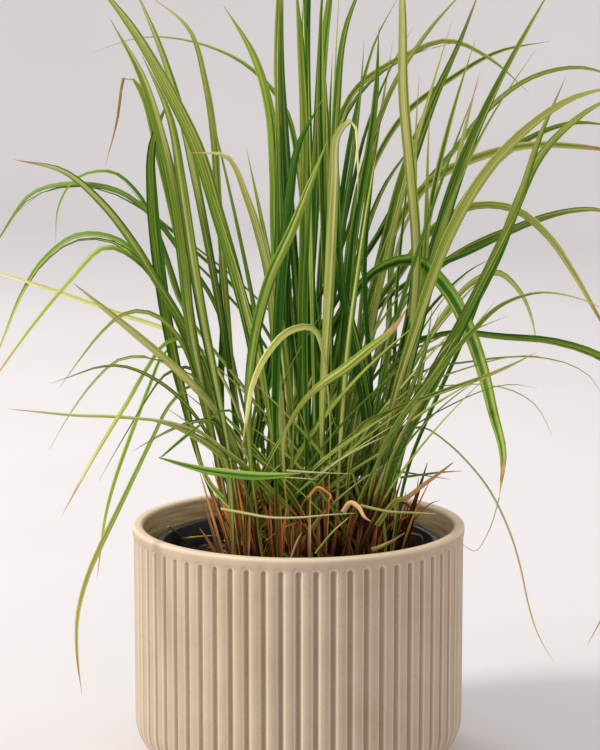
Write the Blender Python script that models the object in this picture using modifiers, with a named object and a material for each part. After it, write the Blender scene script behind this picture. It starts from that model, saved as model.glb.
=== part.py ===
"""Potted ornamental grass clump: a fluted planter, the nursery pot standing in it, and the grass."""

import math

import bmesh
import bpy
from mathutils import Quaternion, Vector
from mathutils.bvhtree import BVHTree

MM = 0.001
GAP = 0.3 * MM

# Planter
PLANTER_RADIUS = 0.100
PLANTER_HEIGHT = 0.144
LIP_WIDTH = 0.0066
LIP_ROUND = 0.0016
RIB_RADIUS = 0.0993
FLUTES = 62
FLUTE_DEPTH = 0.0012
GROOVE_SHARE = 0.46
BAND_HEIGHT = 0.0072
FLUTE_END = 0.0030
CORNER_RADIUS = 0.026
CORNER_TURNS = (90, 58, 28, 0)
FLOOR_THICKNESS = 0.008
INNER_CORNER = 0.020

# Nursery pot, which stands on the planter's floor
POT_RIM_RADIUS = 0.086
POT_RIM_TOP = 0.133
POT_RIM_DROP = 0.010
POT_TOP_RADIUS = 0.0825
POT_FOOT_RADIUS = 0.064
POT_WALL = 0.0012
POT_BASE = 0.010
POT_SIDES = 32

# Soil
SOIL_TOP = 0.1195
SOIL_DEPTH = 0.060
SOIL_LUMP = 0.0022
SOIL_RINGS = ((1.0, -0.001, 0.3), (0.94, 0.0, 1.0), (0.87, 0.0, 0.6))

# Crown of the clump: the old sheaths and the inner blades, which grow from one root mass
CROWN_CENTRE = Vector((0.006, 0.002))
CROWN_HALF_WIDTH = 0.055
CROWN_HALF_DEPTH = 0.046
CROWN_COLUMNS = 10
CROWN_ROWS = 9
CROWN_MARGIN = 0.004
CROWN_SKIRT = 0.0035
CROWN_RISE = 0.0075
FAN_DEPTH = 0.130
CELL_INSET = 0.0030
SHEATH_HEIGHTS = (0.050, 0.038, 0.027, 0.018)
SHEATH_SIZES = (0.0021, 0.0012)
INNER_SIZES = (0.0016, 0.0017, 0.0016, 0.0013, 0.0009, 0.0004)
INNER_KNEE = 0.240
INNER_CHOICES = 24
INNER_LEAN = 0.22

# The place from which the clump's outline is drawn, in front of the planter
EYE = Vector((0.0, -1.417, 0.452))

# Leaves
LEAF_THICKNESS = 0.0011
STEM_THICKNESS = 0.0019
STEM_SHARE = 0.40
STEM_END = 0.36
TAPER_START = 0.52
TAPER_POWER = 2.2
TIP_SHARE = 0.20
DEPTH_POWER = 1.3
SWING_POWER = 0.7
FEWEST_STATIONS = 8
MOST_STATIONS = 14
BEND_PER_STATION = 0.5
CURVE_STEPS = 12
LEAF_SWINGS = (0, 6, -6, 12, -12, 18, -18, 25, -25, 33, -33, 42, -42, 52, -52)

# The leaves. Each has its root across and in depth, the depth of its tip, its width and its turn
# away from the front, then its outline as seen from EYE: millimetres across and up at the pot's axis.
LEAVES = (
    ((-20, -6), -40, 8.0, 20,
     (-28, 252), (-41, 305), (-52, 344), (-63, 377), (-82, 413), (-108, 455), (-125, 473)),
    ((-26, 18), 130, 6.0, 30, (-37, 206), (-46, 267), (-57, 330), (-70, 393), (-85, 438), (-99, 469)),
    ((-18, 26), 110, 5.4, 35,
     (-35, 206), (-42, 267), (-47, 330), (-51, 386), (-60, 428), (-71, 448), (-88, 458)),
    ((-34, -14), -90, 7.5, 25,
     (-53, 206), (-64, 260), (-71, 327), (-80, 371), (-92, 411), (-102, 429), (-110, 444)),
    ((-28, -26), -70, 6.5, 20,
     (-42, 188), (-51, 237), (-60, 285), (-66, 327), (-71, 361), (-79, 400), (-92, 424)),
    ((-38, 6), 20, 5.5, 35,
     (-59, 240), (-71, 315), (-82, 365), (-92, 404), (-99, 417), (-104, 400), (-108, 378), (-114, 358)),
    ((-44, -10), -60, 7.0, 15,
     (-57, 174), (-67, 212), (-77, 258), (-84, 310), (-87, 355), (-84, 380), (-75, 400)),
    ((-14, 30), 140, 5.6, 45,
     (-31, 206), (-47, 270), (-69, 306), (-87, 329), (-113, 346), (-148, 346), (-165, 334), (-186, 300)),
    ((-26, 2), -80, 6.2, 45,
     (-47, 200), (-62, 250), (-86, 293), (-108, 327), (-131, 350), (-148, 359), (-168, 362)),
    ((-34, 26), 120, 4.2, 50,
     (-50, 194), (-70, 279), (-90, 334), (-108, 354), (-131, 351), (-141, 338), (-144, 313)),
    ((-6, -20), -90, 6.6, 35, (-12, 218), (-17, 290), (-28, 332), (-40, 361), (-52, 370), (-64, 366)),
    ((-4, 34), 170, 5.2, 40, (0, 218), (3, 290), (1, 350), (-12, 400), (-46, 425), (-85, 434), (-122, 424)),
    ((-8, 12), 100, 7.4, 20, (-9, 206), (-11, 261), (-14, 330), (-15, 379), (-26, 422), (-44, 452)),
    ((-2, 20), 60, 5.6, 25, (-4, 200), (-6, 270), (-9, 355), (-12, 411), (-11, 460), (-7, 503)),
    ((2, -4), -50, 6.0, 25, (1, 200), (3, 290), (4, 377), (2, 420), (-2, 470)),
    ((6, 8), 40, 6.4, 20, (6, 200), (7, 290), (5, 370), (4, 422), (7, 515)),
    ((-12, -30), -120, 6.2, 25, (-14, 206), (-12, 267), (-7, 325), (-1, 366), (5, 388), (14, 397)),
    ((4, 28), 120, 6.0, 25, (6, 206), (6, 261), (10, 344), (13, 405), (18, 455), (24, 490)),
    ((10, -12), -60, 5.4, 30, (13, 200), (17, 265), (21, 350), (24, 416), (32, 455), (44, 480)),
    ((42, -2), -30, 7.0, 25, (52, 188), (62, 231), (70, 290), (66, 355), (62, 390), (61, 440), (59, 494)),
    ((16, 30), 130, 4.4, 35, (20, 200), (25, 270), (33, 335), (44, 376), (60, 414), (76, 437), (100, 464)),
    ((18, -8), -20, 4.8, 30, (22, 194), (28, 270), (35, 332), (43, 375), (46, 410), (47, 440)),
    ((12, -24), -100, 7.0, 30, (14, 200), (18, 280), (21, 350), (23, 381), (29, 389), (35, 377), (35, 336)),
    ((8, 38), 180, 4.2, 45,
     (9, 230), (14, 320), (24, 388), (44, 411), (72, 427), (97, 431), (118, 416), (135, 401)),
    ((-26, -34), -140, 6.5, 15, (-30, 200), (-27, 250), (-17, 291), (-4, 320), (6, 345), (17, 373)),
    ((38, 10), 50, 5.6, 25, (50, 206), (65, 260), (82, 320), (96, 362), (116, 405), (130, 431), (151, 468)),
    ((28, 22), 110, 5.2, 30, (36, 206), (49, 291), (62, 350), (78, 396), (90, 420), (108, 467)),
    ((42, 22), 60, 5.0, 30, (58, 212), (77, 285), (89, 338), (97, 376), (106, 413)),
    ((24, 34), 150, 4.4, 45,
     (29, 200), (40, 265), (59, 324), (85, 359), (118, 398), (150, 415), (175, 414), (194, 407)),
    ((40, -18), -110, 7.4, 25,
     (52, 200), (71, 266), (86, 309), (102, 342), (126, 372), (152, 394), (194, 407)),
    ((22, 14), 90, 6.2, 40, (29, 206), (43, 282), (65, 336), (90, 356), (125, 369), (160, 370), (197, 365)),
    ((44, 8), 20, 6.4, 25,
     (62, 194), (93, 255), (114, 295), (127, 330), (140, 360), (158, 382), (192, 403)),
    ((48, -12), -80, 5.8, 25, (70, 212), (96, 265), (118, 309), (131, 340), (143, 378), (157, 411)),
    ((14, 40), 200, 4.6, 45, (20, 218), (28, 290), (41, 350), (62, 388), (92, 411), (122, 427), (147, 431)),
    ((34, 30), 130, 5.4, 35,
     (45, 200), (64, 258), (83, 310), (104, 347), (130, 371), (158, 383), (190, 381)),
    ((12, -2), 90, 5.6, 50,
     (19, 200), (31, 250), (58, 293), (85, 327), (111, 335), (135, 329), (158, 303), (188, 252)),
    ((28, 4), 150, 5.0, 45,
     (37, 206), (55, 264), (86, 301), (122, 319), (148, 329), (170, 333), (196, 327)),
    ((-30, 34), 130, 5.6, 50,
     (-44, 194), (-62, 250), (-87, 293), (-109, 316), (-134, 316), (-160, 291), (-184, 236)),
    ((-38, -4), -90, 5.0, 45,
     (-50, 194), (-68, 255), (-86, 290), (-108, 312), (-132, 294), (-161, 260), (-188, 222)),
    ((-18, 14), 130, 4.4, 35, (-31, 194), (-50, 240), (-79, 261), (-109, 271), (-144, 284), (-192, 299)),
    ((-24, -18), -60, 5.2, 30, (-37, 188), (-52, 215), (-74, 238), (-98, 259), (-134, 289)),
    ((-22, -10), -110, 3.4, 35, (-38, 178), (-52, 194), (-74, 204), (-107, 208), (-133, 209), (-174, 213)),
    ((-32, 0), -130, 4.4, 40,
     (-40, 182), (-54, 238), (-68, 258), (-84, 247), (-103, 216), (-122, 185), (-143, 147)),
    ((-36, 20), 100, 4.6, 40,
     (-42, 172), (-52, 226), (-64, 252), (-79, 248), (-98, 204), (-115, 154), (-122, 108)),
    ((-40, -20), -110, 4.6, 40,
     (-44, 182), (-56, 220), (-67, 229), (-81, 208), (-106, 157), (-128, 109), (-135, 75), (-132, 36)),
    ((-30, -38), -120, 6.4, 35,
     (-31, 196), (-45, 213), (-61, 200), (-76, 190), (-72, 180), (-45, 174), (-20, 172), (2, 174)),
    ((18, -32), -130, 6.4, 25,
     (19, 190), (17, 228), (13, 254), (3, 265), (-13, 253), (-25, 235), (-30, 213), (-34, 188)),
    ((-4, -12), -90, 7.6, 45,
     (-4, 212), (12, 245), (35, 285), (62, 304), (86, 288), (105, 252), (118, 205), (124, 178), (121, 159)),
    ((-14, -22), -150, 6.6, 30, (-9, 193), (8, 222), (26, 236), (43, 250), (57, 262), (66, 276)),
    ((46, -24), -60, 5.6, 25, (59, 180), (78, 220), (94, 255), (110, 289), (123, 316), (134, 342)),
    ((20, 6), -30, 5.6, 40,
     (30, 200), (52, 241), (90, 259), (126, 256), (168, 250), (207, 224), (213, 170), (190, 97), (175, 66)),
    ((36, -30), -140, 4.8, 35,
     (50, 188), (78, 229), (97, 252), (118, 274), (143, 283), (162, 281), (190, 269)),
    ((32, 16), 160, 4.4, 40,
     (46, 194), (68, 238), (90, 275), (112, 295), (128, 288), (138, 270), (142, 252)),
    ((24, -20), -100, 5.4, 25, (33, 192), (48, 208), (82, 222), (115, 234), (142, 247)),
    ((50, 2), -70, 6.0, 35, (53, 178), (65, 201), (84, 196), (112, 167), (130, 129), (142, 82), (155, 57)),
)

# Inner blades, which are part of the crown: tip across and in depth, and the tip's height, in millimetres
INNER_BLADES = (
    (-30, -40, 372), (-16, 90, 418), (2, 30, 470), (5, -45, 440), (26, 60, 486), (22, -70, 410),
    (92, 40, 442), (104, -40, 412), (-60, 70, 410), (60, 120, 430), (-20, 160, 400), (44, -100, 380),
    (-50, -110, 360), (20, 190, 360),
)


def clear_scene():
    """Start from an empty file."""
    for thing in list(bpy.data.objects):
        bpy.data.objects.remove(thing, do_unlink=True)


def new_collection(name):
    """A collection linked to the scene."""
    collection = bpy.data.collections.new(name)
    bpy.context.scene.collection.children.link(collection)
    return collection


def new_material(name, colour, roughness, metallic=0.0):
    """A plain Principled material."""
    material = bpy.data.materials.new(name)
    material.use_nodes = True
    shader = material.node_tree.nodes["Principled BSDF"]
    shader.inputs["Base Color"].default_value = (*colour, 1.0)
    shader.inputs["Roughness"].default_value = roughness
    shader.inputs["Metallic"].default_value = metallic
    material.diffuse_color = (*colour, 1.0)
    return material


def new_object(name, mesh, collection, material):
    """One named object holding this mesh."""
    thing = bpy.data.objects.new(name, mesh)
    thing.data.materials.append(material)
    collection.objects.link(thing)
    return thing


def mesh_from(name, work):
    """A mesh with outward faces from a bmesh, which is freed."""
    bmesh.ops.recalc_face_normals(work, faces=work.faces)
    mesh = bpy.data.meshes.new(name)
    work.to_mesh(mesh)
    work.free()
    return mesh


def wrap(first, second):
    """Pairs of neighbours round two equal rings."""
    count = len(first)
    for index in range(count):
        after = (index + 1) % count
        yield first[index], first[after], second[after], second[index]


def fluted_ring(work, radius, depth, height):
    """A turn of the fluted wall: each groove's two edges with its bottom between them."""
    ring = []
    half = math.pi / FLUTES * GROOVE_SHARE
    for flute in range(FLUTES):
        middle = 2 * math.pi * (flute + 0.25 * FLUTES) / FLUTES
        for turn, inward in ((-half, 0.0), (0.0, depth), (half, 0.0)):
            reach = radius - inward
            angle = middle + turn
            spot = (reach * math.cos(angle), reach * math.sin(angle), height)
            ring.append(work.verts.new(spot))
    return ring


def plain_ring(work, radius, height):
    """A turn of the smooth wall, with one point above each groove."""
    ring = []
    for flute in range(FLUTES):
        angle = 2 * math.pi * (flute + 0.25 * FLUTES) / FLUTES
        ring.append(work.verts.new((radius * math.cos(angle), radius * math.sin(angle), height)))
    return ring


def make_planter(collection):
    """The fluted stoneware planter, lofted from its flat foot to its rim and down its inside."""
    work = bmesh.new()
    fluted = []
    for degrees in CORNER_TURNS:
        turn = math.radians(degrees)
        radius = RIB_RADIUS - CORNER_RADIUS * (1 - math.cos(turn))
        height = CORNER_RADIUS * (1 - math.sin(turn))
        fluted.append(fluted_ring(work, radius, FLUTE_DEPTH * math.cos(turn) ** 0.5, height))
    end = PLANTER_HEIGHT - BAND_HEIGHT
    fluted.append(fluted_ring(work, RIB_RADIUS, FLUTE_DEPTH, end - FLUTE_END))
    fluted.append(fluted_ring(work, PLANTER_RADIUS, 0.0, end))
    for lower, upper in zip(fluted, fluted[1:]):
        for corners in wrap(lower, upper):
            work.faces.new(corners)

    inside = PLANTER_RADIUS - LIP_WIDTH
    floor_radius = inside - INNER_CORNER
    half_turn = math.sqrt(0.5)
    smooth = [
        plain_ring(work, PLANTER_RADIUS, PLANTER_HEIGHT - LIP_ROUND),
        plain_ring(work, PLANTER_RADIUS - LIP_ROUND, PLANTER_HEIGHT),
        plain_ring(work, inside + LIP_ROUND, PLANTER_HEIGHT),
        plain_ring(work, inside, PLANTER_HEIGHT - LIP_ROUND),
        plain_ring(work, inside, FLOOR_THICKNESS + INNER_CORNER),
        plain_ring(
            work,
            floor_radius + INNER_CORNER * half_turn,
            FLOOR_THICKNESS + INNER_CORNER * (1 - half_turn),
        ),
        plain_ring(work, floor_radius, FLOOR_THICKNESS),
    ]
    top = fluted[-1]
    for flute, above in enumerate(smooth[0]):
        left, middle, right = top[3 * flute : 3 * flute + 3]
        after = (flute + 1) % FLUTES
        work.faces.new((left, middle, above))
        work.faces.new((middle, right, above))
        work.faces.new((right, top[3 * after], smooth[0][after], above))
    for lower, upper in zip(smooth, smooth[1:]):
        for corners in wrap(lower, upper):
            work.faces.new(corners)
    work.faces.new(smooth[-1])
    work.faces.new(reversed(fluted[0]))
    mesh = mesh_from("planter", work)
    mesh.shade_smooth()
    mesh.set_sharp_from_angle(angle=math.radians(25))
    stoneware = new_material("beige stoneware", (0.50, 0.40, 0.30), 0.62)
    return new_object("planter", mesh, collection, stoneware)


def pot_radius_at(height):
    """The nursery pot's outer radius: it widens from its foot to its rim."""
    foot = FLOOR_THICKNESS + GAP
    share = (height - foot) / (POT_RIM_TOP - foot)
    return POT_FOOT_RADIUS + (POT_TOP_RADIUS - POT_FOOT_RADIUS) * share


def turned(name, outline, sides):
    """A closed body turned about Z from an outline that runs down its outer side."""
    work = bmesh.new()
    spots = [work.verts.new((radius, 0.0, height)) for radius, height in outline]
    for upper, lower in zip(spots, spots[1:]):
        work.edges.new((upper, lower))
    mesh = bpy.data.meshes.new(name)
    work.to_mesh(mesh)
    work.free()
    thing = bpy.data.objects.new(name, mesh)
    screw = thing.modifiers.new("Turn", "SCREW")
    screw.steps = sides
    screw.render_steps = sides
    screw.use_merge_vertices = True
    screw.merge_threshold = 0.00001
    return thing


def make_nursery_pot(collection):
    """The thin black grow pot, with a rim that turns out and down."""
    foot = FLOOR_THICKNESS + GAP
    floor = foot + POT_BASE
    neck = POT_RIM_TOP - POT_RIM_DROP
    outline = (
        (0.0, floor),
        (POT_FOOT_RADIUS - POT_WALL, floor),
        (pot_radius_at(POT_RIM_TOP) - POT_WALL, POT_RIM_TOP),
        (POT_RIM_RADIUS, POT_RIM_TOP),
        (POT_RIM_RADIUS, neck),
        (POT_RIM_RADIUS - POT_WALL, neck),
        (POT_RIM_RADIUS - POT_WALL, POT_RIM_TOP - 2 * POT_WALL),
        (pot_radius_at(POT_RIM_TOP), POT_RIM_TOP - 2 * POT_WALL),
        (POT_FOOT_RADIUS, foot),
        (0.0, foot),
    )
    pot = turned("nursery_pot", outline, POT_SIDES)
    pot.data.materials.append(new_material("black plastic", (0.02, 0.02, 0.022), 0.45))
    collection.objects.link(pot)
    return pot


def soil_radius_at(height):
    """The soil's radius, a hair's breadth inside the nursery pot's wall."""
    floor = FLOOR_THICKNESS + GAP + POT_BASE
    share = (height - floor) / (POT_RIM_TOP - floor)
    low = POT_FOOT_RADIUS - POT_WALL
    high = pot_radius_at(POT_RIM_TOP) - POT_WALL
    return low + (high - low) * share - 2 * GAP


def make_soil(collection):
    """Potting soil: flat under the crown and lumpy round it."""
    work = bmesh.new()
    rings = []
    for share, drop, lumpy in ((1.0, -SOIL_DEPTH, 0.0), *SOIL_RINGS):
        ring = []
        height = SOIL_TOP + drop
        radius = soil_radius_at(height) * share
        for side in range(POT_SIDES):
            angle = 2 * math.pi * side / POT_SIDES
            wave = math.sin(5 * angle + 7 * share) * math.cos(3 * angle + 20 * share)
            lift = lumpy * SOIL_LUMP * (0.5 + wave)
            spot = (radius * math.cos(angle), radius * math.sin(angle), height + lift)
            ring.append(work.verts.new(spot))
        rings.append(ring)
    flat = []
    for side in range(POT_SIDES):
        angle = 2 * math.pi * side / POT_SIDES
        across = CROWN_CENTRE.x + (CROWN_HALF_WIDTH + CROWN_MARGIN) * math.cos(angle)
        deep = CROWN_CENTRE.y + (CROWN_HALF_DEPTH + CROWN_MARGIN) * math.sin(angle)
        flat.append(work.verts.new((across, deep, SOIL_TOP)))
    rings.append(flat)
    for lower, upper in zip(rings, rings[1:]):
        for corners in wrap(lower, upper):
            work.faces.new(corners)
    work.faces.new(rings[-1])
    work.faces.new(reversed(rings[0]))
    mesh = mesh_from("soil", work)
    soil = new_material("potting soil", (0.035, 0.026, 0.02), 0.95)
    return new_object("soil", mesh, collection, soil)


def smooth_path(points, count):
    """Evenly spaced stations on a smooth curve through the points."""
    ends = [2 * points[0] - points[1], *points, 2 * points[-1] - points[-2]]
    fine = []
    for before, start, end, after in zip(ends, ends[1:], ends[2:], ends[3:]):
        for step in range(CURVE_STEPS):
            share = step / CURVE_STEPS
            fine.append(
                0.5
                * (
                    2 * start
                    + (end - before) * share
                    + (2 * before - 5 * start + 4 * end - after) * share**2
                    + (3 * start - before - 3 * end + after) * share**3
                )
            )
    fine.append(points[-1])
    lengths = [0.0]
    for start, end in zip(fine, fine[1:]):
        lengths.append(lengths[-1] + (end - start).length)
    stations = []
    index = 0
    for step in range(count + 1):
        goal = lengths[-1] * step / count
        while index < len(fine) - 2 and lengths[index + 1] < goal:
            index += 1
        span = lengths[index + 1] - lengths[index]
        stations.append(fine[index].lerp(fine[index + 1], (goal - lengths[index]) / span))
    return stations


def seen_from_eye(across, up, depth):
    """The point at this depth that lies behind (across, up) on the axis plane, seen from EYE."""
    share = 1 + depth / -EYE.y
    on_plane = Vector((across, 0.0, up))
    return EYE + (on_plane - EYE) * share


def leaf_path(seat, reach, outline, swing):
    """A leaf's middle line, from its seat on the crown to its tip."""
    flat = [Vector((seat.x, 0.0, seat.z))]
    flat += [Vector((across * MM, 0.0, up * MM)) for across, up in outline]
    lengths = [0.0]
    for start, end in zip(flat, flat[1:]):
        lengths.append(lengths[-1] + (end - start).length)
    points = [seat]
    for spot, length in zip(flat[1:], lengths[1:]):
        share = length / lengths[-1]
        depth = seat.y + (reach * MM - seat.y) * share**DEPTH_POWER
        depth += swing * MM * math.sin(math.pi * share**SWING_POWER)
        points.append(seen_from_eye(spot.x, spot.z, depth))
    bend = 0.0
    for before, here, after in zip(points, points[1:], points[2:]):
        bend += (here - before).angle(after - here)
    return smooth_path(points, min(MOST_STATIONS, FEWEST_STATIONS + int(bend / BEND_PER_STATION)))


def leaf_bmesh(path, width, turn, swell=0.0):
    """A keeled blade: two edges and a keel at each station, and a point at the tip."""
    work = bmesh.new()
    rings = []
    steps = len(path) - 1
    tangents = [(path[step + 1] - path[max(step - 1, 0)]).normalized() for step in range(steps)]
    side = tangents[0].cross(Vector((0, 1, 0))).normalized()
    side = Quaternion(tangents[0], math.radians(turn)) @ side
    for step, tangent in enumerate(tangents):
        side = (side - tangent * side.dot(tangent)).normalized()
        share = step / steps
        rise = min(1.0, share / STEM_END)
        rise = rise * rise * (3 - 2 * rise)
        fade = max(0.0, (share - TAPER_START) / (1 - TAPER_START)) ** TAPER_POWER
        taper = 1 - (1 - TIP_SHARE) * fade
        half = 0.5 * width * MM * (STEM_SHARE + (1 - STEM_SHARE) * rise) * taper + swell
        keel = (STEM_THICKNESS + (LEAF_THICKNESS - STEM_THICKNESS) * rise) * taper**0.7 + swell
        here = path[step]
        corners = (here - side * half, here + side * half, here - tangent.cross(side) * keel)
        rings.append([work.verts.new(spot) for spot in corners])
    for lower, upper in zip(rings, rings[1:]):
        for corners in wrap(lower, upper):
            work.faces.new(corners)
    tip = work.verts.new(path[-1])
    for start, end in zip(rings[-1], rings[-1][1:] + rings[-1][:1]):
        work.faces.new((start, end, tip))
    work.faces.new(reversed(rings[0]))
    return work


def crown_height(across, deep):
    """The crown's domed top above its middle, at a place given as shares of its half width and depth."""
    return SOIL_TOP + GAP + CROWN_SKIRT + CROWN_RISE * max(0.0, 1 - across**2 - deep**2)


def crown_spot(across, deep):
    """A place on the crown's top, from a place on the square from -1 to 1."""
    round_x = across * math.sqrt(1 - deep**2 / 2)
    round_y = deep * math.sqrt(1 - across**2 / 2)
    x = CROWN_CENTRE.x + CROWN_HALF_WIDTH * round_x
    y = CROWN_CENTRE.y + CROWN_HALF_DEPTH * round_y
    return Vector((x, y, crown_height(round_x, round_y)))


def leaf_seats():
    """The places between the crown's cells where a leaf can root."""
    seats = []
    for column in range(1, CROWN_COLUMNS):
        for row in range(1, CROWN_ROWS):
            across = 2 * column / CROWN_COLUMNS - 1
            deep = 2 * row / CROWN_ROWS - 1
            seats.append(crown_spot(across, deep) + Vector((0, 0, 2 * GAP)))
    return seats


def make_leaves(collection):
    """The separate leaves, as trees. Each swings in depth until it is clear of those before it."""
    leaf_material = new_material("variegated leaf", (0.16, 0.27, 0.05), 0.5)
    seats = leaf_seats()
    grown = []
    for number, (root, reach, width, turn, *outline) in enumerate(LEAVES, start=1):
        name = f"leaf_{number:02d}"
        goal = Vector((root[0] * MM, root[1] * MM))
        seat = min(seats, key=lambda spot: (spot.xy - goal).length)
        seats.remove(seat)
        for swing in LEAF_SWINGS:
            path = leaf_path(seat, reach, outline, swing)
            trial = leaf_bmesh(path, width, turn, swell=0.5 * GAP)
            tree = BVHTree.FromBMesh(trial)
            trial.free()
            if not any(tree.overlap(other) for other in grown):
                break
        else:
            raise ValueError(f"{name} has no clear place")
        work = leaf_bmesh(path, width, turn)
        grown.append(BVHTree.FromBMesh(work))
        mesh = mesh_from(name, work)
        mesh.shade_smooth()
        mesh.set_sharp_from_angle(angle=math.radians(50))
        new_object(name, mesh, collection, leaf_material)
    return grown


def grow_column(work, face, path, sizes):
    """Extrudes one inset cell of the crown along a path and closes it in a point."""
    centre = face.calc_center_median()
    offsets = [vert.co - centre for vert in face.verts]
    largest = max(offset.length for offset in offsets)
    for spot, size in zip(path[1:], sizes):
        face = bmesh.ops.extrude_discrete_faces(work, faces=[face])["faces"][0]
        for vert, offset in zip(face.verts, offsets):
            vert.co = spot + offset * (size / largest)
    bmesh.ops.pointmerge(work, verts=list(face.verts), merge_co=path[-1])


def inner_path(root, tip, count):
    """An inner blade's middle line: it stands up first and leans out above its knee."""
    knee = root.lerp(tip, 0.25)
    knee.z = INNER_KNEE
    shoulder = root.lerp(tip, 0.62)
    shoulder.z = INNER_KNEE + 0.55 * (tip.z - INNER_KNEE)
    return smooth_path([root, knee, shoulder, tip], count)


def column_tree(path, sizes):
    """A column by itself, wider by the gap, to test whether it is clear of its neighbours."""
    work = bmesh.new()
    bmesh.ops.create_grid(work, x_segments=1, y_segments=1, size=1.0)
    half_width = CROWN_HALF_WIDTH / CROWN_COLUMNS - CELL_INSET
    half_depth = CROWN_HALF_DEPTH / CROWN_ROWS - CELL_INSET
    for vert in work.verts:
        vert.co = path[0] + Vector((vert.co.x * half_width, vert.co.y * half_depth, 0.0))
    work.faces.ensure_lookup_table()
    grow_column(work, work.faces[0], path, [size + GAP for size in sizes])
    tree = BVHTree.FromBMesh(work)
    work.free()
    return tree


def free_cell(roots, taken, goal_tip, grown):
    """A cell of the crown, and a tip near this one, for an inner blade that is clear of all others."""
    goal = CROWN_CENTRE + INNER_LEAN * goal_tip.xy
    near = sorted(range(len(roots)), key=lambda place: (roots[place].xy - goal).length)
    for swing in LEAF_SWINGS:
        tip = goal_tip + Vector((0.0, swing * MM, 0.0))
        for index in near[:INNER_CHOICES]:
            if index in taken:
                continue
            tree = column_tree(inner_path(roots[index], tip, len(INNER_SIZES)), INNER_SIZES)
            if not any(tree.overlap(other) for other in grown):
                grown.append(tree)
                return index, tip
    raise ValueError(f"no clear place for the inner blade to {goal_tip}")


def make_crown(collection, grown):
    """The root mass with its old sheaths and its inner blades, all one piece."""
    work = bmesh.new()
    bmesh.ops.create_grid(work, x_segments=CROWN_COLUMNS, y_segments=CROWN_ROWS, size=1.0)
    for vert in work.verts:
        vert.co = crown_spot(vert.co.x, vert.co.y)
    cells = list(work.faces)
    border = [edge for edge in work.edges if edge.is_boundary]
    skirt = bmesh.ops.extrude_edge_only(work, edges=border)["geom"]
    low = [thing for thing in skirt if isinstance(thing, bmesh.types.BMVert)]
    for vert in low:
        vert.co.z = SOIL_TOP + GAP
    bmesh.ops.holes_fill(work, edges=[edge for edge in work.edges if edge.is_boundary])
    bmesh.ops.inset_individual(work, faces=cells, thickness=CELL_INSET)

    roots = [cell.calc_center_median() for cell in cells]
    taken = set()
    for across, deep, up in INNER_BLADES:
        index, tip = free_cell(roots, taken, Vector((across, deep, up)) * MM, grown)
        taken.add(index)
        path = inner_path(roots[index], tip, len(INNER_SIZES))
        grow_column(work, cells[index], path, INNER_SIZES)

    fan_centre = Vector((CROWN_CENTRE.x, CROWN_CENTRE.y, SOIL_TOP - FAN_DEPTH))
    for index, root in enumerate(roots):
        if index in taken:
            continue
        lean = (root - fan_centre).normalized()
        for height in SHEATH_HEIGHTS[index % 3 :]:
            path = [root, root + 0.55 * height * lean, root + height * lean]
            tree = column_tree(path, SHEATH_SIZES)
            if not any(tree.overlap(other) for other in grown):
                grown.append(tree)
                grow_column(work, cells[index], path, SHEATH_SIZES)
                break
    mesh = mesh_from("crown", work)
    sheaths = new_material("old sheaths", (0.30, 0.13, 0.04), 0.8)
    return new_object("crown", mesh, collection, sheaths)


def build():
    """The whole part, standing on the table with the planter's axis on Z."""
    clear_scene()
    collection = new_collection("potted_grass_clump")
    make_planter(collection)
    make_nursery_pot(collection)
    make_soil(collection)
    grown = make_leaves(collection)
    make_crown(collection, grown)


build()
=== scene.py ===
# %% [markdown]
# # A potted clump of variegated grass
#
# A young ornamental grass stands in its black nursery pot, and that pot stands in a fluted stoneware planter.
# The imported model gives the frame: the planter, the pot, the soil, the crown of old sheaths, and 55 leaves as
# plain keeled solids. This script dresses them. Each leaf is regrown along its own solid, so that the looks
# and the solids stay the same plant. Everything is in metres, with +Z up and the planter's axis on Z.

# %% Load the frame
import math
import random

import bmesh
import bpy
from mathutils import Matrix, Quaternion, Vector


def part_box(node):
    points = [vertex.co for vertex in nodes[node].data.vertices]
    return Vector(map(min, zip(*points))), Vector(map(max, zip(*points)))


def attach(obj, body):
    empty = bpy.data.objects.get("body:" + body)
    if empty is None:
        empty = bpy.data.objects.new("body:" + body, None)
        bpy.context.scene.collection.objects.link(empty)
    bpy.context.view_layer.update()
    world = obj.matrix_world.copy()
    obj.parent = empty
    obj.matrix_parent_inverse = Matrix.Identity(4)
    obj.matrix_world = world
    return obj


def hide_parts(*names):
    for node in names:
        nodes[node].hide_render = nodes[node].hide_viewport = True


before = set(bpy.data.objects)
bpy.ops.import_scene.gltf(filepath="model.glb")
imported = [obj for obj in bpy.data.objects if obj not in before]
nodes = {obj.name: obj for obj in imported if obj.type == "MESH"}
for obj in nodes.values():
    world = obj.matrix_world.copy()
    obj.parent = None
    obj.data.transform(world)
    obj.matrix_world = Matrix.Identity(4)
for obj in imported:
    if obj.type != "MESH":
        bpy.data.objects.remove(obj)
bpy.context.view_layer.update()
MM = 0.001

# %% [markdown]
# ## The camera
#
# The photograph was taken from a little above the rim with a long lens, because the planter's mouth is a
# narrow ellipse and its sides hardly converge. The camera could be fitted by eye. Here it was worked out from
# the mouth's ellipse and the planter's width, so that a millimetre on the plant lands on the right pixel.

# %% Camera
IMAGE_HEIGHT = 750
FOCAL_PIXELS = 2400
CAMERA_PLACE = (0.0009, -1.4169, 0.4524)
CAMERA_PITCH = 0.1533


def add_object(name, data):
    """A new object in the scene, with this data."""
    thing = bpy.data.objects.new(name, data)
    bpy.context.scene.collection.objects.link(thing)
    return thing


camera = add_object("camera", bpy.data.cameras.new("camera"))
camera.data.sensor_width = 36.0
camera.data.lens = camera.data.sensor_width * FOCAL_PIXELS / IMAGE_HEIGHT
camera.location = CAMERA_PLACE
camera.rotation_euler = (math.pi / 2 - CAMERA_PITCH, 0.0, 0.0)
bpy.context.scene.camera = camera
print("lens in mm:", round(camera.data.lens, 1))

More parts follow.
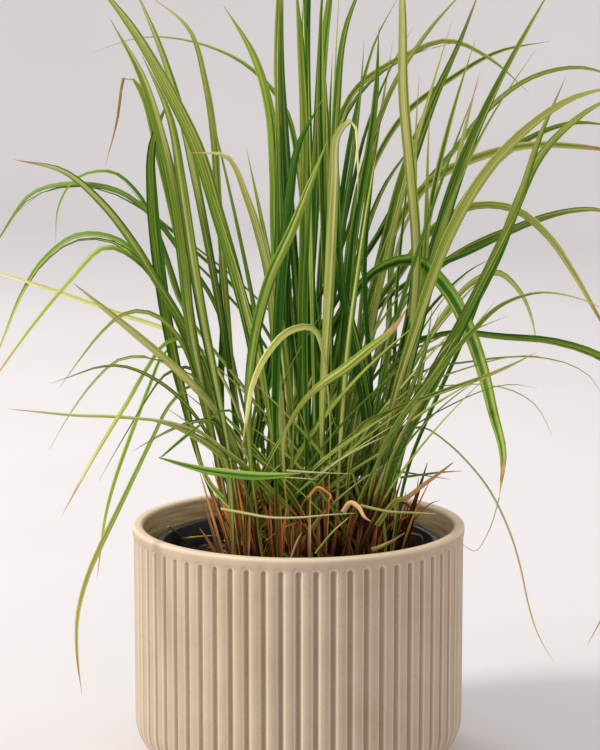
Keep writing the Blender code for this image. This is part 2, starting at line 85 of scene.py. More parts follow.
# %% [markdown]
# ## Node helpers
#
# Both materials and geometry are node trees. Building one by hand takes three lines a node, so a small helper
# adds a node, sets what is a plain value and links what is another node's output. Most steps are arithmetic,
# and that reads best as a formula. So what a node gives out is wrapped in a class that adds and multiplies.


# %% Helpers for node trees
def put(tree, kind, inputs=None, **settings):
    """Adds a node. An input is a plain value or what another node gives out."""
    node = tree.nodes.new(kind)
    for name, value in settings.items():
        setattr(node, name, value)
    for socket, value in (inputs or {}).items():
        if isinstance(value, Output):
            tree.links.new(value.socket, node.inputs[socket])
        else:
            node.inputs[socket].default_value = value
    return node


def take(tree, kind, inputs=None, output=0, **settings):
    """Adds a node and takes one thing that it gives out."""
    return Output(put(tree, kind, inputs, **settings).outputs[output])


def paint(red, green, blue):
    """A colour named by its screen values from 0 to 255, as the linear colour that a shader takes."""
    linear = [((value / 255 + 0.055) / 1.055) ** 2.4 for value in (red, green, blue)]
    return (*linear, 1.0)


class Output:
    """What a node gives out. Each sign of arithmetic and each method adds one node to the same tree."""

    def __init__(self, socket):
        self.socket = socket
        self.tree = socket.id_data

    def maths(self, operation, *values, clamp=False):
        """One step of arithmetic, with this as its first value."""
        inputs = dict(enumerate((self, *values)))
        return take(self.tree, "ShaderNodeMath", inputs, operation=operation, use_clamp=clamp)

    def __add__(self, other):
        return self.maths("ADD", other)

    def __sub__(self, other):
        return self.maths("SUBTRACT", other)

    def __rsub__(self, other):
        return take(self.tree, "ShaderNodeMath", {0: other, 1: self}, operation="SUBTRACT")

    def __mul__(self, other):
        return self.maths("MULTIPLY", other)

    def __truediv__(self, other):
        return self.maths("DIVIDE", other)

    def vectors(self, operation, other):
        """One step of vector arithmetic, with this as its first value."""
        return take(self.tree, "ShaderNodeVectorMath", {0: self, 1: other}, operation=operation)

    def scaled(self, length):
        """This vector times a number."""
        return take(self.tree, "ShaderNodeVectorMath", {0: self, "Scale": length}, operation="SCALE")

    def ramp(self, low, high, start=0.0, end=1.0):
        """Start at low, end at high, and a smooth step between them."""
        inputs = {"Value": self, "From Min": low, "From Max": high, "To Min": start, "To Max": end}
        return take(self.tree, "ShaderNodeMapRange", inputs, interpolation_type="SMOOTHSTEP")

    def noise(self, scale, detail=3.0, roughness=0.55):
        """Noise from 0 to 1 on this vector."""
        inputs = {"Vector": self, "Scale": scale, "Detail": detail, "Roughness": roughness}
        return take(self.tree, "ShaderNodeTexNoise", inputs, "Fac")

    def mix(self, first, second):
        """Two colours mixed, with this as the share of the second."""
        inputs = {0: self, 6: first, 7: second}
        return take(self.tree, "ShaderNodeMix", inputs, 2, data_type="RGBA", clamp_factor=True)

    def colours(self, *stops):
        """A ramp of colours. A stop is a place on it, and red, green and blue from 0 to 255."""
        ramp = put(self.tree, "ShaderNodeValToRGB", {0: self})
        elements = ramp.color_ramp.elements
        while len(elements) < len(stops):
            elements.new(1.0)
        for element, (place, *colour) in zip(elements, stops):
            element.position = place
            element.color = paint(*colour)
        return Output(ramp.outputs[0])


def parts(vector):
    """The three numbers of a vector."""
    return [Output(socket) for socket in put(vector.tree, "ShaderNodeSeparateXYZ", {0: vector}).outputs]


# %% Helpers for materials
def new_finish(name, **constants):
    """A Principled material with what is the same all over, its shader, and the object's own coordinates."""
    material = bpy.data.materials.new(name)
    material.use_nodes = True
    shader = material.node_tree.nodes["Principled BSDF"]
    for socket, value in constants.items():
        shader.inputs[socket.replace("_", " ").title().replace("Ior", "IOR")].default_value = value
    return material, shader, take(material.node_tree, "ShaderNodeTexCoord", output="Object")


def dress(shader, colour, roughness=None, height=None, strength=0.0, distance=0.0):
    """Links what varies over the surface to a shader: a colour, a roughness and the height of a bump."""
    links = colour.tree.links
    links.new(colour.socket, shader.inputs["Base Color"])
    if roughness:
        links.new(roughness.socket, shader.inputs["Roughness"])
    if height:
        inputs = {"Height": height, "Strength": strength, "Distance": distance}
        links.new(take(height.tree, "ShaderNodeBump", inputs).socket, shader.inputs["Normal"])


def attribute(tree, name):
    """What a named attribute of the mesh holds, in a material."""
    return take(tree, "ShaderNodeAttribute", output="Fac", attribute_name=name)


# %% Helpers for geometry trees
def new_tree(name, *sockets):
    """An empty geometry tree with these inputs and one for the material, and what the inputs give."""
    tree = bpy.data.node_groups.new(name, "GeometryNodeTree")
    for side in ("OUTPUT", "INPUT"):
        tree.interface.new_socket("Geometry", in_out=side, socket_type="NodeSocketGeometry")
    for title, kind, default in sockets:
        socket = tree.interface.new_socket(title, in_out="INPUT", socket_type=f"NodeSocket{kind}")
        socket.default_value = default
    tree.interface.new_socket("Material", in_out="INPUT", socket_type="NodeSocketMaterial")
    inputs = put(tree, "NodeGroupInput").outputs
    return tree, {socket.name: Output(socket) for socket in inputs if socket.name}


def close_tree(geometry, material):
    """Ends a geometry tree: real faces, smooth shading and the material."""
    tree = geometry.tree
    real = take(tree, "GeometryNodeRealizeInstances", {0: geometry})
    smooth = take(tree, "GeometryNodeSetShadeSmooth", {0: real})
    finished = take(tree, "GeometryNodeSetMaterial", {0: smooth, "Material": material})
    put(tree, "NodeGroupOutput", {0: finished})


def named(tree, name, vector=False):
    """What a named attribute holds, in a geometry tree."""
    kind = "FLOAT_VECTOR" if vector else "FLOAT"
    return take(tree, "GeometryNodeInputNamedAttribute", {"Name": name}, data_type=kind)


def store(geometry, name, value, kind="FLOAT", domain="POINT"):
    """Keeps a value on the mesh under a name."""
    inputs = {0: geometry, "Name": name, "Value": value}
    return take(geometry.tree, "GeometryNodeStoreNamedAttribute", inputs, data_type=kind, domain=domain)


def placed(geometry, **how):
    """Moves the points of a mesh or curve to a Position or by an Offset."""
    return take(geometry.tree, "GeometryNodeSetPosition", {0: geometry, **how})


def grow(thing, tree, values):
    """Runs a geometry tree on an object and keeps the plain mesh that comes out."""
    modifier = thing.modifiers.new(tree.name, "NODES")
    modifier.node_group = tree
    for socket in tree.interface.items_tree:
        if socket.in_out == "INPUT" and socket.name in values:
            modifier[socket.identifier] = values[socket.name]
    graph = bpy.context.evaluated_depsgraph_get()
    made = bpy.data.meshes.new_from_object(
        thing.evaluated_get(graph), preserve_all_data_layers=True, depsgraph=graph
    )
    thing.modifiers.clear()
    thing.data = made
    made.name = thing.name
    return thing


def hand_over(piece, slot, *replaced):
    """Every piece rides on the one body, and the solids that it stands for are hidden."""
    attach(piece, "root")
    if replaced:
        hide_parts(*replaced)


def triangles(thing):
    """How many triangles an object's mesh has."""
    return sum(len(face.vertices) - 2 for face in thing.data.polygons)


# %% [markdown]
# ## The floor and the light
#
# The clump is lit by one large soft light from the upper left and in front, so the planter turns darker
# towards its right side and its shadow falls to the right. Two weak lights, one low at the right and one
# behind at the left, lift the dark sides as the pale room does. A floor that curves up all round into a pale
# wall gives an even ground from every side. It is a turned shape, and it is stage, not part of the object.

# %% Floor and lights
FLOOR_FLAT = 3.2
FLOOR_CURVE = 1.4
WORLD_STRENGTH = 0.87


def chain(outline):
    """A working mesh with an outline, given as radius and height, as a chain of edges."""
    work = bmesh.new()
    spots = [work.verts.new((reach, 0.0, up)) for reach, up in outline]
    for ends in zip(spots, spots[1:]):
        work.edges.new(ends)
    return work


def soft_light(name, place, aim, size, power, colour):
    """A square soft light at a place, turned to a point."""
    lamp = add_object(name, bpy.data.lights.new(name, "AREA"))
    lamp.data.shape = "SQUARE"
    lamp.data.size = size
    lamp.data.energy = power
    lamp.data.color = colour
    lamp.location = place
    lamp.rotation_euler = (Vector(aim) - Vector(place)).to_track_quat("-Z", "Y").to_euler()


floor_outline = [(0.0, 0.0), (FLOOR_FLAT, 0.0)]
floor_outline += [
    (FLOOR_FLAT + FLOOR_CURVE * math.sin(turn), FLOOR_CURVE * (1 - math.cos(turn)))
    for turn in (math.radians(10 * step) for step in range(1, 9))
]
work = chain(floor_outline)
floor = add_object("floor", bpy.data.meshes.new("floor"))
work.to_mesh(floor.data)
work.free()
turning = floor.modifiers.new("Turn", "SCREW")
turning.steps = turning.render_steps = 96
turning.use_smooth_shade = True
turning.use_merge_vertices = True
pale_floor, shader, where = new_finish("pale floor", roughness=0.9, specular_ior_level=0.2)
dress(shader, where.noise(1.3, detail=2.0).colours((0.3, 210, 207, 207), (0.7, 216, 213, 213)))
floor.data.materials.append(pale_floor)

world = bpy.data.worlds.new("studio")
bpy.context.scene.world = world
world.use_nodes = True
background = world.node_tree.nodes["Background"]
background.inputs["Color"].default_value = paint(240, 237, 238)
background.inputs["Strength"].default_value = WORLD_STRENGTH
bpy.context.scene.view_settings.view_transform = "Standard"
soft_light("key light", (-3.6, -1.44, 2.95), (0, 0, 0.2), 1.15, 186, (1.0, 0.98, 0.945))
soft_light("back light", (2.1, 0.55, 0.8), (0, 0, 0.1), 1.3, 9, (0.94, 0.97, 1.0))
soft_light("window light", (-1.3, 1.7, 1.8), (0, 0, 0.15), 1.0, 14, (1.0, 0.98, 0.95))

# %% [markdown]
# ## The fluted planter
#
# The real planter is slip-cast stoneware. Its mould has 62 shallow round-ended flutes that start under a
# plain band and run down over the rounded foot, with slightly rounded ribs between them. It could be modelled
# one flute at a time, but a rule says it in a few steps: turn a plain outline, then push each point inwards
# by how near it is to the middle of its flute, and by how far it is from the middle of its rib. A geometry
# tree does that for all flutes at once. It keeps the depth and the flutes' brinks as attributes for the glaze
# to read.

# %% Planter: the turned body
low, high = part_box("planter")
PLANTER_RADIUS = high.x
PLANTER_HEIGHT = high.z
LIP_WIDTH = 0.0066
OUTER_ROUND = 0.0017
INNER_LIP_ROUND = 0.0024
RIB_RADIUS = PLANTER_RADIUS - 0.0007
FOOT_ROUND = 0.026
FLOOR_THICKNESS = 0.008
INNER_ROUND = 0.020
BAND_HEIGHT = 0.0072
FLUTES = 62
FLUTE_DEPTH = 0.0010
FLUTE_SHARE = 0.38
RIB_ROUND = 0.0021
WOBBLE = 0.00018
POINTS_PER_FLUTE = 14
FLUTE_END = 0.005
BAND_EDGE = ((0.0004, 0.0008), (0.0001, 0.0024))


def arc(centre_radius, centre_height, radius, start, end, count):
    """Points on part of a circle, from one angle to another, as radius and height."""
    for step in range(count + 1):
        turn = math.radians(start + (end - start) * step / count)
        yield centre_radius + radius * math.cos(turn), centre_height + radius * math.sin(turn)


def straight(start, end, count):
    """Points between two ends, leaving out both."""
    for step in range(1, count):
        share = step / count
        yield start[0] + (end[0] - start[0]) * share, start[1] + (end[1] - start[1]) * share


def turned(name, outline, sides):
    """A body turned about Z from an outline that starts and ends on the axis."""
    work = chain(outline)
    geometry = list(work.verts) + list(work.edges)
    bmesh.ops.spin(work, geom=geometry, axis=(0, 0, 1), angle=2 * math.pi, steps=sides, use_duplicate=False)
    bmesh.ops.remove_doubles(work, verts=work.verts, dist=0.000005)
    bmesh.ops.recalc_face_normals(work, faces=work.faces)
    thing = add_object(name, bpy.data.meshes.new(name))
    work.to_mesh(thing.data)
    work.free()
    thing.data.shade_smooth()
    return thing


band_foot = PLANTER_HEIGHT - BAND_HEIGHT
inside = PLANTER_RADIUS - LIP_WIDTH
foot_centre = RIB_RADIUS - FOOT_ROUND
inner_centre = inside - INNER_ROUND
planter_outline = [
    (0.0, 0.0),
    *straight((0.0, 0.0), (foot_centre, 0.0), 4),
    *arc(foot_centre, FOOT_ROUND, FOOT_ROUND, -90, 0, 16),
    *straight((RIB_RADIUS, FOOT_ROUND), (RIB_RADIUS, band_foot - FLUTE_END), 8),
    *((RIB_RADIUS, band_foot - FLUTE_END + 0.0004 * step) for step in range(13)),
    *((PLANTER_RADIUS - inset, band_foot + up) for inset, up in BAND_EDGE),
    *arc(PLANTER_RADIUS - OUTER_ROUND, PLANTER_HEIGHT - OUTER_ROUND, OUTER_ROUND, 0, 90, 6),
    *arc(inside + INNER_LIP_ROUND, PLANTER_HEIGHT - INNER_LIP_ROUND, INNER_LIP_ROUND, 90, 180, 7),
    *straight((inside, PLANTER_HEIGHT - INNER_LIP_ROUND), (inside, FLOOR_THICKNESS + INNER_ROUND), 9),
    *arc(inner_centre, FLOOR_THICKNESS + INNER_ROUND, INNER_ROUND, 0, -90, 6),
    *straight((inner_centre, FLOOR_THICKNESS), (0.0, FLOOR_THICKNESS), 4),
    (0.0, FLOOR_THICKNESS),
]
planter = turned("stoneware_planter", planter_outline, FLUTES * POINTS_PER_FLUTE)
print("planter outline points:", len(planter_outline))

# %% Planter: the tree that presses the flutes
flute_tree, given = new_tree(
    "press the flutes",
    ("Flutes", "Int", FLUTES),
    ("Depth", "Float", FLUTE_DEPTH),
    ("Share", "Float", FLUTE_SHARE),
    ("Rib round", "Float", RIB_ROUND),
    ("Outer radius", "Float", RIB_RADIUS),
    ("Foot round", "Float", FOOT_ROUND),
    ("Top", "Float", band_foot),
    ("Wobble", "Float", WOBBLE),
)
place = take(flute_tree, "GeometryNodeInputPosition")
x, y, z = parts(place)
reach = (x * x + y * y).maths("SQRT")
beyond = (reach - (given["Outer radius"] - given["Foot round"])).maths("MAXIMUM", 0.0)
below = (given["Foot round"] - z).maths("MAXIMUM", 0.0)
shell = (beyond * beyond + below * below).maths("SQRT")
outer = (given["Foot round"] - shell).ramp(0.0030, 0.0012)
upright = (beyond / shell.maths("MAXIMUM", 0.001)).maths("SQRT")
on_wall = outer * upright
turns = y.maths("ARCTAN2", x) / (2 * math.pi)
count = (turns + 0.25) * given["Flutes"]
from_middle = ((count + 100.5).maths("FRACT") - 0.5).maths("ABSOLUTE")
pitch = given["Outer radius"] * (2 * math.pi) / given["Flutes"]
aside = from_middle * pitch
half = pitch * given["Share"] * 0.5
over = (z - (given["Top"] - half)).maths("MAXIMUM", 0.0)
nearness = (aside * aside + over * over).maths("SQRT") / half
pressed = nearness.ramp(1.2, 0.2) * on_wall
fall = (1.0 - nearness * given["Share"]).maths("MAXIMUM", 0.0)
# The flutes' brinks, which the glaze lightens with a painted highlight.
brink_highlight = nearness.ramp(0.72, 0.98) * nearness.ramp(1.60, 1.12) * on_wall
wander = place.noise(14.0, detail=1.0) - 0.5
inward = pressed * given["Depth"] + wander * given["Wobble"] + fall * fall * on_wall * given["Rib round"]
marked = store(store(given["Geometry"], "flute", pressed), "brink_highlight", brink_highlight)
outwards = take(flute_tree, "GeometryNodeInputNormal")
close_tree(placed(marked, Offset=outwards.scaled(inward * -1.0)), given["Material"])
print("steps in the flute tree:", len(flute_tree.nodes))

# %% [markdown]
# The glaze is a matte warm beige. The ribs' edges carry a painted highlight, where the glaze also runs thin,
# and the flutes are painted a little darker, partly glaze that pools there and partly painted shade. The
# lip's top is painted lighter, partly thin glaze and partly a painted highlight. Iron in the clay gives it a
# faint cloudy mottling and small specks. The mouth's inside is bare and browner, and painted lighter as
# painted light on the inner wall. All of it reads the object's own coordinates and the stored depth, so it
# stays put from any side.

# %% Planter: the glaze
glaze, shader, where = new_finish("beige stoneware glaze", specular_ior_level=0.32)
tree = where.tree
x, y, z = parts(where)
cloud = where.noise(26.0, detail=4.0)
fine = where.noise(900.0, detail=2.0)
speck = where.noise(420.0, detail=1.0)
body = cloud.colours((0.30, 171, 150, 126), (0.50, 178, 158, 135), (0.72, 184, 166, 144))
# The flutes are painted darker: partly glaze that pools there, partly painted shade.
pooled_and_shaded = (attribute(tree, "flute") * 0.38).mix(body, paint(124, 102, 76))
# A painted highlight along the flutes' brinks, where the glaze also runs thin.
brink_highlighted = (attribute(tree, "brink_highlight") * 0.75).mix(pooled_and_shaded, paint(218, 205, 187))
# The lip's top is painted lighter: partly thin glaze, partly a painted highlight.
rim = z.ramp(PLANTER_HEIGHT - 0.0030, PLANTER_HEIGHT - 0.0004)
lip_glaze_and_highlight = (rim * 0.75).mix(brink_highlighted, paint(226, 204, 172))
reach = (x * x + y * y).maths("SQRT")
bare = reach.ramp(inside + 0.0022, inside + 0.0002) * z.ramp(PLANTER_HEIGHT + 0.001, PLANTER_HEIGHT - 0.006)
rings = where.vectors("MULTIPLY", (25.0, 25.0, 500.0)).noise(1.0)
# The bare inner wall is browner clay, painted lighter as painted light that falls into the mouth.
lit_bare_mouth = bare.mix(lip_glaze_and_highlight, rings.colours((0.35, 182, 150, 106), (0.65, 226, 200, 156)))
specks = speck.ramp(0.70, 0.78, 0.0, 0.22).mix(lit_bare_mouth, paint(106, 84, 60))
grained = fine.ramp(0.35, 0.65, 0.0, 0.10).mix(specks, paint(214, 198, 174))
dress(shader, grained, cloud.ramp(0.3, 0.7, 0.52, 0.68), fine + cloud * 2.0, 0.25, 0.0003)
grow(planter, flute_tree, {"Material": glaze})
hand_over(planter, "stoneware", "planter")
print("planter triangles:", triangles(planter))

# %% [markdown]
# ## The nursery pot
#
# The grower's pot is thin black polypropylene, blown or pressed with a rim that turns out and down. Only its
# rim and a little of its wall show inside the planter. A turned outline with a rounded, turned-down rim is
# enough, and the plastic needs a soft grey shine and dusty soil marks.

# %% Nursery pot
low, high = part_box("nursery_pot")
POT_RIM = high.x
POT_TOP = high.z
POT_FOOT = low.z
POT_WALL = 0.0012
RIM_DROP = 0.010
RIM_WIDTH = 0.0035
FOOT_RADIUS = 0.064
FOOT_HEIGHT = 0.010
EDGE = 0.001
RIM_BEND = 0.0016
MOUTH_BEND = 0.0012

neck = POT_RIM - RIM_WIDTH
rim_round = POT_WALL / 2
pot_outline = [
    (0.0, POT_FOOT),
    *straight((0.0, POT_FOOT), (FOOT_RADIUS, POT_FOOT), 3),
    (FOOT_RADIUS - EDGE, POT_FOOT),
    (FOOT_RADIUS, POT_FOOT + EDGE),
    *straight((FOOT_RADIUS, POT_FOOT), (neck, POT_TOP - 2 * POT_WALL), 10),
    (neck, POT_TOP - 2.4 * POT_WALL),
    (neck + 0.0008, POT_TOP - 2 * POT_WALL),
    (POT_RIM - POT_WALL - 0.0004, POT_TOP - 2 * POT_WALL),
    (POT_RIM - POT_WALL, POT_TOP - 2.6 * POT_WALL),
    *arc(POT_RIM - rim_round, POT_TOP - RIM_DROP + rim_round, rim_round, 180, 360, 6),
    *arc(POT_RIM - RIM_BEND, POT_TOP - RIM_BEND, RIM_BEND, 0, 90, 5),
    *arc(neck - POT_WALL + MOUTH_BEND, POT_TOP - MOUTH_BEND, MOUTH_BEND, 90, 180, 5),
    *straight((neck - POT_WALL, POT_TOP - MOUTH_BEND), (FOOT_RADIUS - POT_WALL, POT_FOOT + FOOT_HEIGHT), 10),
    (FOOT_RADIUS - POT_WALL - EDGE, POT_FOOT + FOOT_HEIGHT),
    *straight((FOOT_RADIUS - POT_WALL - EDGE, POT_FOOT + FOOT_HEIGHT), (0.0, POT_FOOT + FOOT_HEIGHT), 3),
    (0.0, POT_FOOT + FOOT_HEIGHT),
]
nursery_pot = turned("black_nursery_pot", pot_outline, 144)
plastic, shader, where = new_finish("black grow pot plastic", specular_ior_level=0.35)
dust = where.noise(60.0, detail=5.0)
shade = dust.colours((0.42, 16, 19, 20), (0.62, 26, 28, 28), (0.80, 58, 52, 44))
dress(shader, shade, dust.ramp(0.35, 0.75, 0.30, 0.65), where.noise(700.0, detail=2.0), 0.2, 0.0002)
nursery_pot.data.materials.append(plastic)
hand_over(nursery_pot, "pot_plastic", "nursery_pot")
print("nursery pot triangles:", triangles(nursery_pot))

# %% [markdown]
# ## The soil
#
# Potting soil is a dark crumbly peat with bark, grit and a few white grains of perlite. Its surface is a disc
# whose top is pushed up and down by noise at two sizes. The crumbs, the perlite and the bits of bark are
# small shapes scattered on it, which geometry nodes do with a fixed seed. Each crumb is an icosphere of
# twenty faces, stretched and turned at random, because nobody sees more of it than that.

# %% Soil: the lumpy disc
low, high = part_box("soil")
SOIL_RADIUS = high.x - 0.0002
SOIL_TOP = 0.1195
SOIL_DEPTH = 0.030
SOIL_RINGS = 44
SOIL_SIDES = 160

soil_outline = [(0.0, SOIL_TOP)]
soil_outline += [(SOIL_RADIUS * step / SOIL_RINGS, SOIL_TOP) for step in range(1, SOIL_RINGS)]
soil_outline += [
    (SOIL_RADIUS - 0.0002, SOIL_TOP - 0.0015),
    (SOIL_RADIUS - 0.0040, SOIL_TOP - SOIL_DEPTH),
    (0.0, SOIL_TOP - SOIL_DEPTH),
]
soil = turned("potting_soil", soil_outline[::-1], SOIL_SIDES)

soil_tree, given = new_tree(
    "lumpy soil",
    ("Lump height", "Float", 0.0036),
    ("Crumb height", "Float", 0.0016),
    ("Top", "Float", SOIL_TOP),
)
place = take(soil_tree, "GeometryNodeInputPosition")
upper = parts(place)[2].ramp(given["Top"] - 0.001, given["Top"])
lumps = place.noise(55.0, detail=2.0) - 0.5
crumbs = place.noise(260.0, roughness=0.7) - 0.5
rise = (lumps * given["Lump height"] + crumbs * given["Crumb height"]) * upper
marked = store(given["Geometry"], "top", upper)
lifted = placed(marked, Offset=take(soil_tree, "ShaderNodeCombineXYZ", {2: rise}))
close_tree(lifted, given["Material"])

peat, shader, where = new_finish("dark potting soil", roughness=0.95, specular_ior_level=0.15)
coarse = where.noise(240.0, detail=5.0, roughness=0.7)
shade = coarse.colours((0.32, 20, 15, 13), (0.48, 43, 32, 26), (0.62, 66, 48, 37), (0.78, 104, 76, 54))
dress(shader, shade, None, coarse, 0.8, 0.001)
grow(soil, soil_tree, {"Material": peat})
hand_over(soil, "potting_soil", "soil")
print("soil triangles:", triangles(soil))

# %% Soil: crumbs, perlite and bark scattered on it
scatter_tree, given = new_tree(
    "scatter crumbs",
    ("Count per square metre", "Float", 60000.0),
    ("Size", "Float", 0.0011),
    ("Flatness", "Vector", (1.0, 0.8, 0.6)),
    ("Seed", "Int", 1),
)


def random_value(output, low, high, seed, kind):
    """A random number or vector for each point, between two ends."""
    first = 2 * output
    inputs = {first: low, first + 1: high, "Seed": seed}
    return take(scatter_tree, "FunctionNodeRandomValue", inputs, output, data_type=kind)


ground = {"Mesh": given["Geometry"], "Density": given["Count per square metre"], "Seed": given["Seed"]}
ground["Selection"] = named(scatter_tree, "top").maths("GREATER_THAN", 0.5)
points = take(scatter_tree, "GeometryNodeDistributePointsOnFaces", ground)
crumb = take(scatter_tree, "GeometryNodeMeshIcoSphere", {"Radius": given["Size"], "Subdivisions": 1})
jitter = random_value(0, (0.75,) * 3, (1.25,) * 3, 7, "FLOAT_VECTOR")
crumb = placed(crumb, Position=take(scatter_tree, "GeometryNodeInputPosition").vectors("MULTIPLY", jitter))
tumble = random_value(0, (-0.5, -0.5, 0.0), (0.5, 0.5, 6.28), 3, "FLOAT_VECTOR")
lie = take(scatter_tree, "FunctionNodeEulerToRotation", {0: tumble})
stretch = given["Flatness"].scaled(random_value(1, 0.45, 1.6, 5, "FLOAT"))
inputs = {"Points": points, "Instance": crumb, "Rotation": lie, "Scale": stretch}
close_tree(take(scatter_tree, "GeometryNodeInstanceOnPoints", inputs), given["Material"])

perlite, shader, where = new_finish("white perlite", roughness=0.9)
dress(shader, where.noise(900.0).colours((0.35, 168, 160, 148), (0.6, 225, 220, 210)))
bark, shader, where = new_finish("bark chips", roughness=0.85)
dress(shader, where.noise(500.0).colours((0.3, 52, 33, 24), (0.5, 96, 62, 40), (0.7, 150, 108, 70)))
SCATTER_INPUTS = ("Material", "Count per square metre", "Size", "Flatness", "Seed")
SCATTERS = (
    ("soil_crumbs", peat, 90000.0, 0.0010, (1.0, 0.85, 0.7), 11),
    ("perlite_grains", perlite, 2600.0, 0.0011, (1.0, 0.9, 0.8), 12),
    ("bark_chips", bark, 9000.0, 0.0019, (1.5, 0.6, 0.25), 13),
)
for name, *settings in SCATTERS:
    piece = grow(add_object(name, soil.data.copy()), scatter_tree, dict(zip(SCATTER_INPUTS, settings)))
    hand_over(piece, "potting_soil")
    print(name, "triangles:", triangles(piece))

# %% [markdown]
# ## Reading a leaf from its solid
#
# Each leaf's solid is a keeled strip: rings of two edges and a keel, and a point at the tip. A finer leaf
# could be drawn again from a table, but then the two could drift apart. Walking down the solid from its tip,
# ring by ring, gives the middle line, the width and the way that the leaf faces, all from the frame.


# %% Read the rings of a solid
def merged_copy(node):
    """A working copy of a solid whose loose triangles are joined."""
    work = bmesh.new()
    work.from_mesh(nodes[node].data)
    bmesh.ops.remove_doubles(work, verts=work.verts, dist=0.00001)
    work.verts.index_update()
    return work


def rings_from(tip, size):
    """The rings of a limb from its tip downwards, while each has this many corners."""
    seen = {tip}
    ring = [tip]
    rings = []
    while True:
        around = {edge.other_vert(vert) for vert in ring for edge in vert.link_edges} - seen
        if len(around) != size:
            return rings
        ring = sorted(around, key=lambda vert: vert.index)
        seen.update(ring)
        rings.append([vert.co.copy() for vert in ring])


def centre_of(ring):
    """The middle of a ring's corners."""
    return sum(ring, Vector()) / len(ring)


def keel_first(rings):
    """Each ring as its keel and its two edges, followed up and down from the widest ring."""
    spans = [max((a - b).length for a in ring for b in ring) for ring in rings]
    widest = spans.index(max(spans))
    ring = rings[widest]
    pairs = [(0, 1, 2), (1, 2, 0), (2, 0, 1)]
    left, right, keel = max(pairs, key=lambda pair: (ring[pair[0]] - ring[pair[1]]).length)
    ordered = {widest: [ring[keel], ring[left], ring[right]]}
    for steps in (range(widest + 1, len(rings)), range(widest - 1, -1, -1)):
        before = ordered[widest]
        for index in steps:
            middle = centre_of(before)
            rest = list(rings[index])
            here = centre_of(rest)
            found = []
            for corner in before:
                aim = (corner - middle).normalized()
                pick = max(rest, key=lambda other: (other - here).normalized().dot(aim))
                rest.remove(pick)
                found.append(pick)
            ordered[index] = found
            before = found
    return [ordered[index] for index in range(len(rings))]


CROWN_TOP = Vector((0.006, 0.002, 0.128))


def read_leaf(node):
    """A leaf's stations from its root to its tip: place, sideways direction and half width."""
    work = merged_copy(node)
    ends = [vert for vert in work.verts if len(vert.link_edges) == 3]
    tip = max(ends, key=lambda vert: (vert.co - CROWN_TOP).length)
    stations = []
    for keel, left, right in keel_first(rings_from(tip, 3)):
        stations.append([(left + right) / 2, right - left, keel])
    stations.reverse()
    flip = 0.0
    for index, (place, span, keel) in enumerate(stations[:-1]):
        along = stations[index + 1][0] - place
        flip += along.cross(span).normalized().dot((place - keel).normalized())
    sign = 1.0 if flip > 0 else -1.0
    leaf = [(place, sign * span.normalized(), span.length / 2) for place, span, _ in stations]
    leaf.append((tip.co.copy(), leaf[-1][1], 0.0))
    work.free()
    return leaf


leaf_nodes = sorted(name for name in nodes if name.startswith("leaf_"))
leaves = {name: read_leaf(name) for name in leaf_nodes}
counts = [len(leaf) for leaf in leaves.values()]
print("leaves read:", len(leaves), "stations:", min(counts), "to", max(counts))

# %% [markdown]
# ## Sweeping a blade
#
# A grass blade is a long strip, folded along its midrib, round and sheath-like at its foot, and drawn out to
# a fine point. It is thinner than it looks: about 0.4 mm. The guide is a line with attributes at each point:
# which way is sideways, which way is up, the half width, the thickness and the fold. One geometry tree turns
# all guides of a piece into closed blades. It sweeps a ring along the line for the faces, then places each
# point from the attributes, so the same tree also makes sheaths, stems and threads.

# %% The blade tree
blade_tree, given = new_tree("sweep the blades", ("Corners", "Int", 16), ("Fold power", "Float", 1.0))
here = take(blade_tree, "GeometryNodeInputPosition")
ring_x, ring_y, _ = parts(here)
spine = take(blade_tree, "GeometryNodeMeshToCurve", {0: given["Geometry"]})
spine = store(spine, "spine", here, kind="FLOAT_VECTOR")
ring = take(blade_tree, "GeometryNodeCurvePrimitiveCircle", {"Resolution": given["Corners"], "Radius": 1.0})
ring = store(store(ring, "across", ring_x), "face", ring_y)
small_ring = placed(ring, Position=here.scaled(0.0001))
inputs = {"Curve": spine, "Profile Curve": small_ring, "Fill Caps": True}
swept = take(blade_tree, "GeometryNodeCurveToMesh", inputs)
across, half, fold, thick, face, along = (
    named(blade_tree, name) for name in ("across", "half", "fold", "thick", "face", "along")
)
side, up, middle = (named(blade_tree, name, vector=True) for name in ("side", "up", "spine"))
bend = across.maths("ABSOLUTE").maths("POWER", given["Fold power"]) - 1.0
lift = half * fold * bend + thick * face
offset = side.scaled(half * across).vectors("ADD", up.scaled(lift))
shaped = placed(swept, Position=middle.vectors("ADD", offset))
sheet = take(blade_tree, "ShaderNodeCombineXYZ", {0: across * 0.5 + 0.5, 1: along})
mapped = store(shaped, "blade_uv", sheet, kind="FLOAT2", domain="CORNER")
close_tree(mapped, given["Material"])
print("steps in the blade tree:", len(blade_tree.nodes))


# %% Guides for the blade tree
LOOK_FLOATS = ("pale", "margin", "dry", "rust", "fade", "seed")
GUIDE_FLOATS = ("half", "thick", "fold", "along", *LOOK_FLOATS)
FOOT_SHARE = 0.30
POINT_SHARE = 0.10
SLIMMEST = 0.00008
THINNEST = 0.00004


